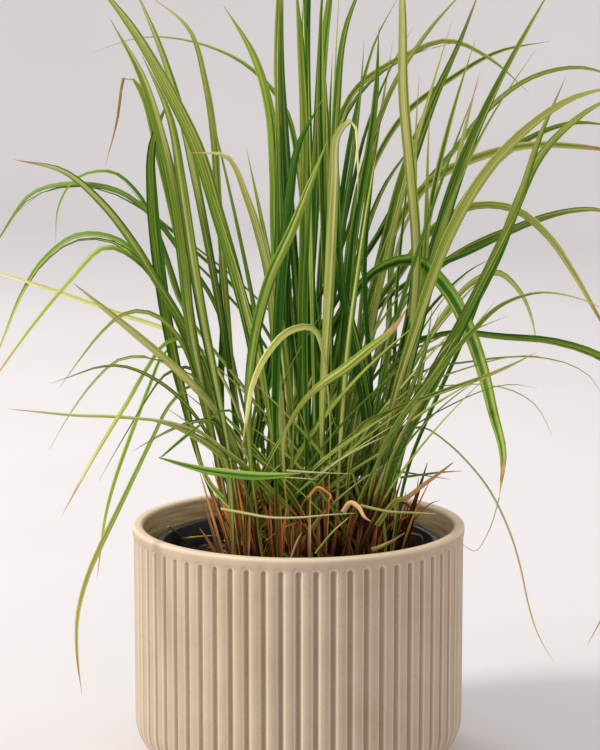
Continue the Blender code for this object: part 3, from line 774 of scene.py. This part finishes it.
def resampled(places, count):
    """Evenly spaced points on a smooth curve through the places, and where each lies among them."""
    ends = [2 * places[0] - places[1], *places, 2 * places[-1] - places[-2]]
    fine = []
    marks = []
    for index in range(len(places) - 1):
        before, start, end, after = ends[index : index + 4]
        for step in range(8):
            share = step / 8
            line = 2 * start + (end - before) * share
            curve = (2 * before - 5 * start + 4 * end - after) * share**2
            twist = (3 * start - before - 3 * end + after) * share**3
            fine.append(0.5 * (line + curve + twist))
            marks.append(index + share)
    fine.append(places[-1])
    marks.append(len(places) - 1)
    lengths = [0.0]
    for start, end in zip(fine, fine[1:]):
        lengths.append(lengths[-1] + (end - start).length)
    found = []
    at = 0
    for step in range(count):
        goal = lengths[-1] * step / (count - 1)
        while at < len(fine) - 2 and lengths[at + 1] < goal:
            at += 1
        share = (goal - lengths[at]) / max(lengths[at + 1] - lengths[at], 1e-9)
        found.append((fine[at].lerp(fine[at + 1], share), marks[at] + (marks[at + 1] - marks[at]) * share))
    return found, lengths[-1]


def between(stops, share):
    """The value at a share of the length, between the stops on either side of it."""
    for (start, low), (end, high) in zip(stops, stops[1:]):
        if share <= end:
            return low + (high - low) * (share - start) / (end - start)
    return stops[-1][1]


def new_guide():
    """An empty guide, to which blades are added one by one."""
    return {"places": [], "edges": [], "side": [], "up": [], **{name: [] for name in GUIDE_FLOATS}}


def add_blade(
    guide, places, sides, halves, look, count=48, thin=0.00020, stem=0.0007, fold=0.32, twist=0.0, facing=None
):
    """Adds one blade to a guide. Facing, in place of sides, holds its turns away from the viewer in degrees."""
    stations, length = resampled(places, count)
    first = len(guide["places"])
    spots = [spot for spot, _ in stations]
    for step, (spot, mark) in enumerate(stations):
        low_mark = min(int(mark), len(places) - 2)
        share = mark - low_mark
        ahead = spots[min(step + 1, count - 1)] - spots[max(step - 1, 0)]
        ahead.normalize()
        along = step / (count - 1)
        if facing:
            side = ahead.cross(Vector(CAMERA_PLACE) - spot).normalized()
            side = Quaternion(ahead, math.radians(between(facing, along))) @ side
        else:
            side = sides[low_mark].lerp(sides[low_mark + 1], share)
            side = (side - ahead * side.dot(ahead)).normalized()
            side = Quaternion(ahead, twist * along) @ side
        half = halves[low_mark] + (halves[low_mark + 1] - halves[low_mark]) * share
        foot = max(0.0, 1 - along / FOOT_SHARE) ** 2
        point = min(1.0, (1 - along) / POINT_SHARE)
        guide["places"].append(spot)
        guide["side"].append(side)
        guide["up"].append(ahead.cross(side))
        guide["half"].append(max(half, SLIMMEST))
        guide["thick"].append(max(THINNEST, (thin + (stem - thin) * foot) * point**0.6))
        guide["fold"].append(fold * (1 - 0.6 * foot))
        guide["along"].append(along)
        for name in LOOK_FLOATS:
            guide[name].append(look[name])
        if step:
            guide["edges"].append((first + step - 1, first + step))
    return length


def finish_guide(name, guide, material, corners=16, fold_power=1.0):
    """The blades of a guide as one plain mesh."""
    mesh = bpy.data.meshes.new(name)
    mesh.from_pydata(guide["places"], guide["edges"], [])
    for title in ("side", "up"):
        values = mesh.attributes.new(title, "FLOAT_VECTOR", "POINT")
        values.data.foreach_set("vector", [part for vector in guide[title] for part in vector])
    for title in GUIDE_FLOATS:
        mesh.attributes.new(title, "FLOAT", "POINT").data.foreach_set("value", guide[title])
    values = {"Corners": corners, "Fold power": fold_power, "Material": material}
    return grow(add_object(name, mesh), blade_tree, values)


# %% [markdown]
# ## The leaf's colours
#
# This grass is variegated. Its colours run along the blade in fine parallel stripes: dark green, mid green,
# yellow-green and cream, because a row of cells keeps its colour as the blade grows. Some blades are pale in
# the middle and some at the margins. The tips dry out tan, orange and brown, and the feet turn straw and
# rust-red. So the stripes are noise that changes fast across the blade and very slowly along it, and each
# blade carries its own paleness, margin, dryness and seed as attributes.

# %% The leaf material
SEED_SPREAD = 37.0


def stripes_room(tree, pace):
    """Room for stripes that run along a blade, and lie elsewhere on each blade."""
    across, along, seed = (attribute(tree, name) for name in ("across", "along", "seed"))
    return take(tree, "ShaderNodeCombineXYZ", {0: across, 1: along * pace, 2: seed * SEED_SPREAD})


leaf_finish, shader, where = new_finish(
    "variegated leaf", specular_ior_level=0.14, subsurface_weight=0.10, subsurface_scale=0.0012
)
shader.inputs["Subsurface Radius"].default_value = (0.8, 1.0, 0.25)
tree = where.tree
z = parts(where)[2]
along = attribute(tree, "along")
stripes = stripes_room(tree, 0.55)
broad = stripes.noise(1.7, detail=2.0, roughness=0.6)
narrow = stripes.noise(7.0, detail=2.0, roughness=0.6)
veins = stripes.noise(26.0, detail=1.0)
edge = attribute(tree, "across").maths("ABSOLUTE") - 0.45
tone = (broad - 0.5) * 1.4 + attribute(tree, "pale") + (narrow - 0.5)
tone += edge * attribute(tree, "margin") * 0.50
tone += along.maths("POWER", 1.5) * attribute(tree, "fade")
# Lower down the blades are painted paler: partly the yellower stems near the foot, partly painted light where
# the clump shades them.
tone = tone.maths("ADD", z.ramp(0.29, 0.19, 0.0, 0.12), clamp=True)
dark_to_cream = ((0.00, 26, 74, 12), (0.18, 64, 116, 24), (0.36, 124, 148, 46))
dark_to_cream += ((0.54, 172, 176, 80), (0.72, 206, 200, 128), (0.95, 232, 222, 172))
veined = veins.ramp(0.42, 0.62, 0.0, 0.20).mix(tone.colours(*dark_to_cream), paint(34, 66, 16))
blotch = where.noise(130.0)
dried = 1.0 - (1.0 - along) / attribute(tree, "dry").maths("MAXIMUM", 0.001)
dried = (blotch * 0.8 + (dried - 0.4)).ramp(0.0, 0.6)
withered = narrow * 0.6 + blotch * 0.4
straw = withered.colours((0.30, 118, 76, 44), (0.48, 168, 124, 76), (0.66, 206, 178, 126))
tipped = dried.mix(veined, straw)
foot = (blotch * 0.030 + z).ramp(0.198, 0.146) * attribute(tree, "rust")
rusty = narrow.colours((0.32, 84, 38, 24), (0.50, 168, 92, 44), (0.66, 204, 150, 84))
dress(shader, foot.mix(tipped, rusty), dried.ramp(0.0, 1.0, 0.44, 0.75), veins + narrow, 0.35, 0.00025)
print("steps in the leaf material:", len(tree.nodes))

# %% [markdown]
# ## The leaves
#
# Every leaf piece stands for its own solid. The looks of the leaves that stand out in the photograph are
# given one by one. The others get theirs from a seeded random draw, in the same range. Some leaves also get
# their own width and the way that they turn their face, and one is bent back on itself with a sharp fold.

# %% Looks, widths and turns of the leaves
ROOT_DROP = 0.010
STEM_SLIM = ((0.0, 0.46), (0.22, 0.48), (0.42, 0.80), (0.7, 1.08), (1.0, 1.12))
#   number: (paleness, pale margins above 0 or a pale middle below 0, share of the length that is dry)
#   and for some a fourth value: how much paler the leaf is at its tip
LEAF_LOOKS = {
    1: (0.22, -0.9, 0.03), 2: (0.24, -0.5, 0.06), 3: (0.34, 0.4, 0.05), 4: (0.30, -0.8, 0.02),
    5: (0.30, -0.9, 0.03), 6: (0.30, 0.3, 0.20), 9: (0.24, -0.5, 0.08), 11: (0.44, -0.4, 0.04),
    12: (0.14, 0.3, 0.04), 13: (0.12, 0.2, 0.02, 0.22), 14: (0.12, -0.4, 0.02), 15: (0.04, 0.4, 0.02),
    16: (0.00, -0.6, 0.02), 17: (-0.04, 0.2, 0.02), 18: (-0.02, -0.4, 0.02), 19: (0.14, -0.4, 0.03),
    20: (0.36, -0.6, 0.04), 21: (0.30, 0.4, 0.06), 22: (0.02, 0.1, 0.02), 23: (0.46, -0.6, 0.04),
    25: (0.16, -0.8, 0.02), 26: (0.16, 0.4, 0.03), 28: (0.34, -0.3, 0.05), 30: (0.34, -0.4, 0.04),
    31: (0.24, 0.5, 0.12), 32: (0.26, -0.5, 0.03), 33: (0.22, -0.7, 0.03), 35: (0.14, 0.3, 0.04),
    36: (0.10, 0.5, 0.12, 0.55), 39: (0.30, -0.4, 0.10), 40: (0.42, 0.2, 0.06), 41: (0.42, -0.5, 0.05),
    42: (0.46, 0.0, 0.06), 43: (0.28, 0.3, 0.12), 44: (0.26, 0.2, 0.06), 45: (0.16, 0.3, 0.10),
    46: (0.02, 1.2, 0.02, 0.1), 47: (0.16, 0.4, 0.10, 0.5), 48: (0.06, 0.6, 0.08, 0.14),
    49: (0.30, -0.6, 0.16, 0.25), 50: (0.06, 0.2, 0.03), 51: (0.06, -0.6, 0.05), 52: (0.20, 0.4, 0.05),
    54: (0.24, 0.3, 0.05), 55: (0.30, 0.9, 0.04),
}
#   number: how wide a leaf is beside its solid
LEAF_SIZES = {
    1: 1.1, 2: 1.1, 3: 1.1, 4: 1.1, 5: 1.12, 6: 1.15, 7: 1.1, 15: 1.15, 16: 1.15, 17: 1.15, 18: 1.15,
    22: 1.15, 46: 1.15, 47: 0.68, 48: 1.2, 49: 0.9,
}
#   number: turns away from the viewer in degrees, each at a share of the leaf's length
LEAF_FACINGS = {
    1: ((0.0, 30), (0.5, 10), (1.0, 35)),
    4: ((0.0, 20), (1.0, 30)),
    8: ((0.0, 30), (0.4, 50), (1.0, 60)),
    10: ((0.0, 30), (0.4, 50), (1.0, 60)),
    11: ((0.0, 30), (0.6, 30), (1.0, 50)),
    13: ((0.0, 40), (0.4, 5), (1.0, 20)),
    23: ((0.0, 40), (0.5, 10), (0.75, 35), (1.0, 60)),
    25: ((0.0, 35), (0.4, 5), (1.0, 10)),
    36: ((0.0, 35), (0.4, 30), (1.0, 20)),
    38: ((0.0, 30), (0.4, 52), (1.0, 60)),
    39: ((0.0, 30), (0.4, 52), (1.0, 60)),
    40: ((0.0, 30), (0.4, 50), (1.0, 50)),
    42: ((0.0, 60), (0.3, 62), (1.0, 50)),
    43: ((0.0, 30), (0.4, 60), (1.0, 50)),
    44: ((0.0, 30), (0.4, 60), (1.0, 50)),
    45: ((0.0, 30), (0.4, 60), (0.7, 45), (1.0, 45)),
    46: ((0.0, 50), (0.5, 60), (0.58, 20), (1.0, 8)),
    47: ((0.0, 70), (0.30, 85), (0.50, 80), (0.62, 40), (0.72, 12), (1.0, 25)),
    48: ((0.0, 30), (0.3, 8), (0.5, 50), (0.64, 22), (1.0, 18)),
    49: ((0.0, 80), (0.48, 74), (0.64, 35), (0.76, 12), (1.0, 20)),
    51: ((0.0, 40), (0.4, 30), (1.0, 45)),
}


def look_of(draw, pale=None, margin=None, dry=None, fade=None, rust=None):
    """A blade's look, drawn at random where it isn't given."""
    drawn = {
        "pale": draw.uniform(-0.06, 0.40),
        "margin": draw.choice((-1, -0.7, -0.4, 0.2, 0.8)),
        "dry": draw.uniform(0.02, 0.10),
        "rust": draw.choice((0.0, 0.0, 0.3, 0.7, 1.0)),
        "fade": draw.uniform(0.20, 0.38),
        "seed": draw.uniform(0, 10),
    }
    given_look = {"pale": pale, "margin": margin, "dry": dry, "fade": fade, "rust": rust}
    drawn.update({name: value for name, value in given_look.items() if value is not None})
    return drawn


FOLDED_LEAF = 46
FOLD_PLACE = Vector((-0.083, 0.0, 0.183))
FOLD_THIN = 0.0004


def fold_back(places, sides, halves):
    """Gives the leaf that is bent back on itself a sharp fold, thin before it and wide after it."""
    turn = min(range(len(places)), key=lambda index: places[index].x)
    eye = Vector(CAMERA_PLACE)
    corner = eye.lerp(FOLD_PLACE, (places[turn].y - eye.y) / (FOLD_PLACE.y - eye.y))
    thin = [min(half, 0.0012) for half in halves[:turn]]
    wide = [half * min(1.0, 0.55 + 0.3 * step) for step, half in enumerate(halves[turn + 1 :])]
    places = places[:turn] + [corner] * 3 + places[turn + 1 :]
    sides = sides[:turn] + [sides[turn]] * 3 + sides[turn + 1 :]
    return places, sides, thin + [FOLD_THIN] * 3 + wide

# %% Grow the leaves
total = 0
for number, (name, stations) in enumerate(leaves.items(), start=1):
    draw = random.Random(number)
    places = [place for place, _, _ in stations]
    below = places[0] - (places[1] - places[0]).normalized() * ROOT_DROP
    sides = [stations[0][1]] + [side for _, side, _ in stations]
    last = len(stations) - 1
    size = LEAF_SIZES.get(number, 1.0)
    halves = [half * size * between(STEM_SLIM, step / last) for step, (_, _, half) in enumerate(stations)]
    if number == FOLDED_LEAF:
        places, sides, halves = fold_back(places, sides, halves)
    halves.insert(0, halves[0])
    look = look_of(draw, *LEAF_LOOKS.get(number, ()))
    guide = new_guide()
    twist = draw.uniform(-0.35, 0.35)
    add_blade(guide, [below, *places], sides, halves, look, twist=twist, facing=LEAF_FACINGS.get(number))
    blade = finish_guide(f"blade_{number:02d}", guide, leaf_finish)
    hand_over(blade, "grass_leaf", name)
    total += triangles(blade)
print("leaf triangles:", total)

# %% [markdown]
# ## Between the leaves
#
# A clump has far more blades than can be told apart. They cross each other, because each grows out of its own
# shoot and leans wherever it finds light. So an in-between blade starts at the root of one leaf and swings
# over to the course of another, and ends before that one does. It can't stick out of the clump, because it
# never leaves the space between the two. The dense middle and the right side get some more, each between two
# leaves of that part. Thin young blades slant nearly straight from the root of one leaf to the course of
# another. Low down at the sides others lean far out between the lowest leaves.

# %% In-between blades: blades that cross
CROSSING = 36
SHORT_ONES = 30
LOW_ONES = 15
SLANTING = 48
MIDDLE_ONES = 15
MIDDLE = range(13, 23)
RIGHT_ONES = 14
RIGHT_GOALS = (50, 54)
RIGHT_SIDE = (19, 20, 21, 26, 27, 28, 30, 31, 32, 33, 50)
RIGHT_SLANTING = 22
LOW_LEFT = (39, 40, 41, 42, 43, 44, 45)
LOW_RIGHT = (37, 50, 51, 52, 53, 54, 55)
stems = []


def station_at(stations, share):
    """A leaf's place, sideways direction and half width at a share of its stations."""
    mark = share * (len(stations) - 1)
    index = min(int(mark), len(stations) - 2)
    part = mark - index
    first, second = stations[index], stations[index + 1]
    return (
        first[0].lerp(second[0], part),
        first[1].lerp(second[1], part).normalized(),
        first[2] + (second[2] - first[2]) * part,
    )


def add_between(guide, draw, first, second, mixes, reach, width, pale=None):
    """Adds a blade between two leaves, which moves from the first share of the way to the second."""
    count = 12
    shift = Vector((draw.uniform(-1, 1), draw.uniform(-1, 1), -0.5)) * 0.010
    places, sides, halves = [], [], []
    for step in range(count + 1):
        part = step / count
        ease = min(1.0, part / 0.7)
        ease = ease * ease * (3 - 2 * ease)
        mix = mixes[0] + (mixes[1] - mixes[0]) * ease
        one = station_at(first, reach * part)
        other = station_at(second, reach * part)
        places.append(one[0].lerp(other[0], mix) + shift * (1 - part))
        sides.append(one[1].lerp(other[1] if one[1].dot(other[1]) > 0 else -other[1], mix).normalized())
        fade = 1 - max(0.0, (part - 0.5) / 0.5) ** 2
        halves.append((0.0008 + (width - 0.0008) * min(1.0, part / 0.5)) * fade)
    add_blade(guide, places, sides, halves, look_of(draw, pale), count=30, twist=draw.uniform(-0.6, 0.6))
    stems.append((places[:4], sides[:4], halves[0]))


def lean_of(name):
    """The direction in which a leaf leans at half its length."""
    return (station_at(leaves[name], 0.5)[0] - CROWN_TOP).normalized()


def add_crossing(guide, draw, reach_range, width_range):
    """Adds a blade from one leaf's root to the course of a leaf that leans roughly alike."""
    first = draw.choice(leaf_nodes)
    alike = sorted(leaf_nodes, key=lambda name: -lean_of(name).dot(lean_of(first)))
    rank = draw.randint(6, 28)
    behind = max(alike[rank : rank + 3], key=lambda name: station_at(leaves[name], 0.6)[0].y)
    width = draw.uniform(*width_range)
    add_between(guide, draw, leaves[first], leaves[behind], (0.0, 1.0), draw.uniform(*reach_range), width)


def add_neighbour(guide, draw, group, mix_range, width_range, reach_range, pale_range):
    """Adds a blade between two leaves of a group."""
    first, second = (leaves[f"leaf_{number:02d}"] for number in draw.sample(group, 2))
    mixes = (draw.uniform(0.0, 0.3), draw.uniform(*mix_range))
    width, reach, pale = (draw.uniform(*ends) for ends in (width_range, reach_range, pale_range))
    add_between(guide, draw, first, second, mixes, reach, width, pale)


# %% In-between blades: blades that slant
KNEE_OUT = 0.20


def slanting_across(draw):
    """Two leaves that lean apart, and a share of the second one's length."""
    first = min(draw.sample(leaf_nodes, 3), key=lambda name: leaves[name][0][0].y)
    alike = sorted(leaf_nodes, key=lambda name: -lean_of(name).dot(lean_of(first)))
    rank = draw.randint(18, 44)
    second = min(alike[rank : rank + 4], key=lambda name: station_at(leaves[name], 0.4)[0].y)
    return first, second, draw.uniform(0.24, 0.56)


def slanting_right(draw):
    """Two leaves of the right side, and a share of the second one's length."""
    first, second = draw.choice(LOW_RIGHT), draw.choice(RIGHT_GOALS)
    return f"leaf_{first:02d}", f"leaf_{second:02d}", draw.uniform(0.25, 0.85)


def add_slanting(guide, draw, first, second, share):
    """Adds a thin, nearly straight blade from one leaf's root to a share of another leaf's length."""
    root = station_at(leaves[first], 0.0)[0]
    goal = station_at(leaves[second], share)[0]
    rise = goal - root
    knee = root + Vector((KNEE_OUT * rise.x, KNEE_OUT * rise.y, draw.uniform(0.42, 0.58) * rise.z))
    places = [root.lerp(knee, step / 10).lerp(knee.lerp(goal, step / 10), step / 10) for step in range(11)]
    width = draw.uniform(0.0008, 0.0018)
    halves = [
        width * (0.6 + 0.4 * min(1.0, step / 4)) * (1 - max(0.0, step / 10 - 0.45) ** 1.5 * 2.2)
        for step in range(11)
    ]
    turn = draw.uniform(-65, 65)
    look = look_of(draw, pale=draw.choice((0.0, 0.04, 0.10, 0.20, 0.40)))
    facing = ((0.0, turn), (1.0, turn + draw.uniform(-30, 30)))
    add_blade(guide, places, places, halves, look, count=24, stem=0.0005, facing=facing)
    stems.append((places[:4], [root.cross(rise).normalized()], halves[0]))


# %% In-between blades: grow them
draw = random.Random(41)
guide = new_guide()
for _ in range(CROSSING):
    add_crossing(guide, draw, (0.55, 0.95), (0.0014, 0.0025))
for _ in range(MIDDLE_ONES):
    add_neighbour(guide, draw, MIDDLE, (0.5, 0.9), (0.0018, 0.0032), (0.74, 0.97), (-0.1, 0.12))
for _ in range(RIGHT_ONES):
    add_neighbour(guide, draw, RIGHT_SIDE, (0.4, 0.8), (0.0014, 0.0026), (0.5, 0.9), (-0.06, 0.30))
inner = finish_guide("inner_blades", guide, leaf_finish, corners=12)
hand_over(inner, "grass_leaf")
guide = new_guide()
for _ in range(SHORT_ONES):
    add_crossing(guide, draw, (0.24, 0.5), (0.0011, 0.0017))
for _ in range(SLANTING):
    add_slanting(guide, draw, *slanting_across(draw))
for _ in range(RIGHT_SLANTING):
    add_slanting(guide, draw, *slanting_right(draw))
short = finish_guide("young_blades", guide, leaf_finish, corners=12)
hand_over(short, "grass_leaf")
guide = new_guide()
for index in range(LOW_ONES):
    side_leaves = LOW_LEFT if index % 3 == 0 else LOW_RIGHT
    first, second = (leaves[f"leaf_{number:02d}"] for number in draw.sample(side_leaves, 2))
    mix = draw.uniform(0.25, 0.75)
    add_between(guide, draw, first, second, (mix, mix), draw.uniform(0.5, 0.9), draw.uniform(0.0010, 0.0018))
low = finish_guide("low_blades", guide, leaf_finish, corners=12)
hand_over(low, "grass_leaf")
print("inner:", triangles(inner), "young:", triangles(short), "low:", triangles(low))

# %% [markdown]
# ## The crown
#
# At its foot the clump is a dense brush of old sheaths, rust-orange, maroon and straw, round green stems.
# Each sheath is a thin half tube that has split and dried. Most still wrap the stem that they grew with, some
# stand by themselves, and thin dead fibres lie any way between them. They are short blades with a rounded
# fold, so the same tree makes them. They stand for the crown's solid, which also carries the longest inner
# blades.

# %% Inner blades that the crown's solid carries
crown = merged_copy("crown")
tips = [vert for vert in crown.verts if len(vert.link_edges) == 4 and vert.co.z > 0.30]
crown_blades = []
for tip in sorted(tips, key=lambda vert: vert.index):
    rings = rings_from(tip, 4)
    line = [centre_of(ring) for ring in rings][::-1] + [tip.co.copy()]
    crown_blades.append([place for place in line if place.z > 0.11])
crown.free()
draw = random.Random(7)
guide = new_guide()
for line in crown_blades:
    face = Vector((draw.uniform(-1, 1), -1.0, 0.0)).normalized()
    sides = []
    for start, end in zip(line, line[1:] + [2 * line[-1] - line[-2]]):
        sides.append((end - start).cross(face).normalized())
    count = len(line) - 1
    width = draw.uniform(0.0018, 0.0027)
    halves = [width * (0.5 + min(0.5, step / count)) * (1 - (step / count) ** 4) for step in range(count + 1)]
    add_blade(guide, line, sides, halves, look_of(draw), twist=draw.uniform(-0.8, 0.8))
    stems.append(([line[0].lerp(line[1], step / 4) for step in range(4)], [sides[0]] * 4, halves[0]))
tall = finish_guide("tall_inner_blades", guide, leaf_finish)
print("tall inner blades:", len(crown_blades), "triangles:", triangles(tall))

# %% Old sheaths: their material
sheath_finish, shader, where = new_finish("old dry sheath", specular_ior_level=0.25)
stripes = stripes_room(where.tree, 0.5)
broad = stripes.noise(1.5, detail=2.0)
fibre = stripes.noise(12.0, detail=2.0)
tone = (broad - 0.5) * 0.9 + attribute(where.tree, "pale")
tone = ((fibre - 0.5) * 0.6).maths("ADD", tone, clamp=True)
maroon_to_straw = ((0.05, 52, 26, 18), (0.25, 126, 66, 32), (0.45, 196, 118, 56))
maroon_to_straw += ((0.62, 222, 154, 86), (0.82, 224, 188, 134))
# Darker towards the foot of the crown: painted shade deep in the dense clump.
dark = parts(where)[2].ramp(0.150, 0.120, 0.0, 0.75)
shade = dark.mix(tone.colours(*maroon_to_straw), paint(30, 20, 16))
dress(shader, shade, fibre.ramp(0.3, 0.7, 0.55, 0.85), fibre, 0.6, 0.0004)

# %% Old sheaths and stems
LOOSE_SHEATHS = 135
TANGLES = 60
WRAPPED_SHARE = 0.85
SHEATH_ROOT = 0.114
CROWN_REACH = Vector((0.055, 0.046))


def sheath_look(draw, across=0.0):
    """A sheath's look: rust, orange or straw on the left of the clump, and mostly maroon on its right."""
    look = look_of(draw)
    brighter = (0.10, 0.20, 0.34, 0.44, 0.50, 0.60, 0.74)
    darker = (0.02, 0.06, 0.12, 0.18, 0.26, 0.36, 0.60)
    look["pale"] = draw.choice(darker if across > draw.uniform(-0.01, 0.03) else brighter)
    return look


def crown_place(draw):
    """A random place on the crown."""
    turn = draw.uniform(0, 2 * math.pi)
    reach = math.sqrt(draw.uniform(0, 1))
    across = CROWN_TOP.x + CROWN_REACH.x * reach * math.cos(turn)
    deep = CROWN_TOP.y + CROWN_REACH.y * reach * math.sin(turn)
    return Vector((across, deep, SHEATH_ROOT))


def wrap_stem(guide, draw, line, side, half):
    """Adds a sheath round the foot of a stem, open on one side and frayed away from it at its top."""
    along = (line[-1] - line[0]).normalized()
    if along.z < 0.6:
        return
    foot = line[0] + along * ((SHEATH_ROOT - line[0].z) / along.z)
    rise = draw.uniform(0.024, 0.068)
    turn = draw.uniform(-1.2, 1.2) - math.pi / 2
    out = Vector((math.cos(turn), math.sin(turn), 0.0))
    fray = draw.uniform(0.0004, 0.0030)
    places = []
    for step in range(6):
        part = step / 5
        places.append(foot + along * rise * part + out * (0.0009 + fray * part**3))
    width = half * draw.uniform(1.05, 1.7)
    halves = [width * size for size in (1.0, 1.0, 1.0, 1.0, 0.9, 0.45)]
    edge = along.cross(out).normalized()
    look, twist = sheath_look(draw, foot.x), draw.uniform(-0.4, 0.4)
    add_blade(guide, places, [edge] * 6, halves, look, count=14, stem=0.00035, fold=-0.8, twist=twist)


def add_loose_sheath(guide, draw):
    """Adds one old sheath that stands by itself."""
    root = crown_place(draw)
    out = Vector((root.x - CROWN_TOP.x, root.y - CROWN_TOP.y, 0.0))
    rise = draw.uniform(0.024, 0.070)
    top = root + Vector((0, 0, rise)) + out * 5.0 * rise
    top += Vector((draw.uniform(-1, 1), draw.uniform(-1, 1), 0)) * 0.007
    bulge = Vector((draw.uniform(-1, 1), draw.uniform(-1, 1), 0)) * 0.0025
    line = [root.lerp(top, step / 5) + bulge * math.sin(math.pi * step / 5) for step in range(6)]
    face = Quaternion((0, 0, 1), draw.uniform(-0.9, 0.9)) @ Vector((0, -1, 0))
    edge = (line[-1] - line[0]).cross(face).normalized()
    width = draw.uniform(0.0007, 0.0018)
    halves = [width * size for size in (0.8, 1.0, 1.0, 0.9, 0.6, 0.12)]
    look, twist = sheath_look(draw, root.x), draw.uniform(-0.5, 0.5)
    add_blade(
        guide, line, [edge] * 6, halves, look, count=14, thin=0.00022, stem=0.0005, fold=-0.7, twist=twist
    )


def add_tangle(guide, draw):
    """Adds one thin dead fibre, bent and lying any way among the stems."""
    root = crown_place(draw)
    root.y = min(root.y, CROWN_TOP.y)
    root.z += draw.uniform(0.010, 0.045)
    turn = draw.uniform(0, 2 * math.pi)
    aim = Vector((math.cos(turn), 0.5 * math.sin(turn), draw.uniform(-0.3, 1.0))).normalized()
    bend = Vector((draw.uniform(-1, 1), draw.uniform(-1, 1), draw.uniform(-1, 0.4))) * 0.010
    reach = draw.uniform(0.010, 0.030)
    line = [root + aim * reach * step / 5 + bend * (step / 5) ** 2 for step in range(6)]
    width = draw.uniform(0.0004, 0.0010)
    halves = [width * size for size in (0.7, 1.0, 1.0, 0.8, 0.6, 0.2)]
    look = sheath_look(draw)
    look["pale"] = draw.choice((0.08, 0.16, 0.24, 0.34, 0.60))
    add_blade(guide, line, line, halves, look, count=12, stem=0.0003, facing=((0.0, 0), (1.0, 60)))


draw = random.Random(23)
for name in leaf_nodes:
    stations = leaves[name]
    stems.append(([stations[step][0] for step in (0, 1)], [stations[0][1]], 0.7 * stations[0][2]))
guide = new_guide()
for line, sides, half in stems:
    if draw.random() < WRAPPED_SHARE:
        wrap_stem(guide, draw, line, sides[0], max(half, 0.0010))
for _ in range(LOOSE_SHEATHS):
    add_loose_sheath(guide, draw)
for _ in range(TANGLES):
    add_tangle(guide, draw)
sheaths = finish_guide("old_sheaths", guide, sheath_finish, corners=12, fold_power=2.0)
hand_over(sheaths, "old_sheath", "crown")
hand_over(tall, "grass_leaf")
print("stems:", len(stems), "old sheaths:", triangles(sheaths))

# %% [markdown]
# A few small things catch the eye round the foot of the clump: thin pale blades that lie across the stems,
# curled dead pieces, a bit of straw on the soil, and the fine thread at the tip of the largest arching leaf.
# They are placed one by one, in millimetres, because a random draw would never put them there.

# %% Small things round the foot
#   half width, paleness, dry share, turn away from the viewer, and the places across, in depth and up
STRAY_BLADES = (
    (0.9, 0.60, 0.05, 20, ((-45, -52, 163), (-30, -56, 161), (-16, -58, 159), (1, -58, 159), (18, -55, 160),
                           (35, -50, 160))),
    (0.9, 0.45, 0.05, 20, ((36, -48, 164), (53, -46, 160), (68, -40, 158), (82, -34, 156))),
    (0.7, 0.55, 0.05, 20, ((-44, -46, 182), (-26, -46, 181), (-3, -46, 180), (12, -46, 179))),
    (0.7, 0.65, 0.05, 20, ((-7, -44, 184), (7, -44, 183), (31, -44, 182))),
    (0.8, 0.25, 0.05, 20, ((10, -60, 138), (19, -60, 150), (30, -58, 160))),
    (1.4, 0.40, 0.90, 20, ((43, -45, 137), (52, -47, 141), (62, -45, 147))),
    (1.9, 0.35, 0.95, 25, ((46, -38, 150), (56, -42, 165), (63, -45, 168), (74, -47, 177), (82, -47, 183),
                           (90, -45, 189))),
    (0.7, 0.05, 0.05, 20, ((44, -20, 181), (64, -25, 179), (89, -30, 176))),
    (0.8, 0.15, 0.05, 20, ((60, -30, 177), (82, -30, 180), (96, -30, 181))),
    (0.8, 0.40, 0.05, 20, ((-80, 38, 124), (-64, 33, 127), (-49, 35, 128))),
)
STRAY_SHEATHS = (
    (0.8, 0.80, 0.0, 20, ((-5, -55, 132), (-1, -56, 144), (2, -57, 150))),
    (0.5, 0.30, 0.0, 20, ((66, -4, 142), (78, 0, 154), (85, 0, 157))),
    (0.8, 0.75, 0.0, 20, ((50, 2, 136), (56, 0, 139), (67, 0, 137), (74, 0, 135), (75, 0, 130))),
    (0.9, 0.38, 0.0, 20, ((50, -20, 140), (56, -20, 148), (62, -20, 150), (66, -20, 152))),
    (1.6, 0.85, 0.0, 15, ((26, -48, 160), (30, -50, 166), (35, -53, 164), (38, -55, 159), (42, -55, 156))),
    (1.0, 0.55, 0.0, 20, ((6, -44, 168), (11, -45, 174), (15, -48, 173), (19, -50, 170), (17, -50, 167))),
    (0.7, 0.80, 0.0, 20, ((-79, 9, 139), (-73, 26, 130), (-67, 31, 123))),
    (1.3, 0.50, 0.0, 20, ((-64, 58, 122), (-59, 60, 125), (-55, 61, 124))),
)
THREAD = ((0, 0, 0), (-4, 0, -15), (-9, 0, -26), (-13, 0, -31), (-18, 0, -29), (-22, 0, -26))


def add_stray(guide, draw, half, pale, dry, turn, places, start=Vector()):
    """Adds one blade at listed places."""
    line = [start + Vector(place) * MM for place in places]
    count = len(line) - 1
    halves = [half * MM * (1 - 0.8 * (step / count) ** 3) for step in range(count + 1)]
    look = look_of(draw, pale, 0.3, dry, 0.1, 0.0)
    add_blade(guide, line, line, halves, look, count=24, stem=0.0003, facing=((0.0, turn), (1.0, turn + 20)))


draw = random.Random(5)
guide = new_guide()
for stray in STRAY_BLADES:
    add_stray(guide, draw, *stray)
add_stray(guide, draw, 0.30, 0.1, 1.0, 20, THREAD, start=leaves["leaf_48"][-1][0])
strays = finish_guide("stray_blades", guide, leaf_finish, corners=12)
hand_over(strays, "grass_leaf")
guide = new_guide()
for stray in STRAY_SHEATHS:
    add_stray(guide, draw, *stray)
dead = finish_guide("dead_pieces", guide, sheath_finish, corners=12)
hand_over(dead, "old_sheath")
print("stray blades:", triangles(strays), "dead pieces:", triangles(dead))
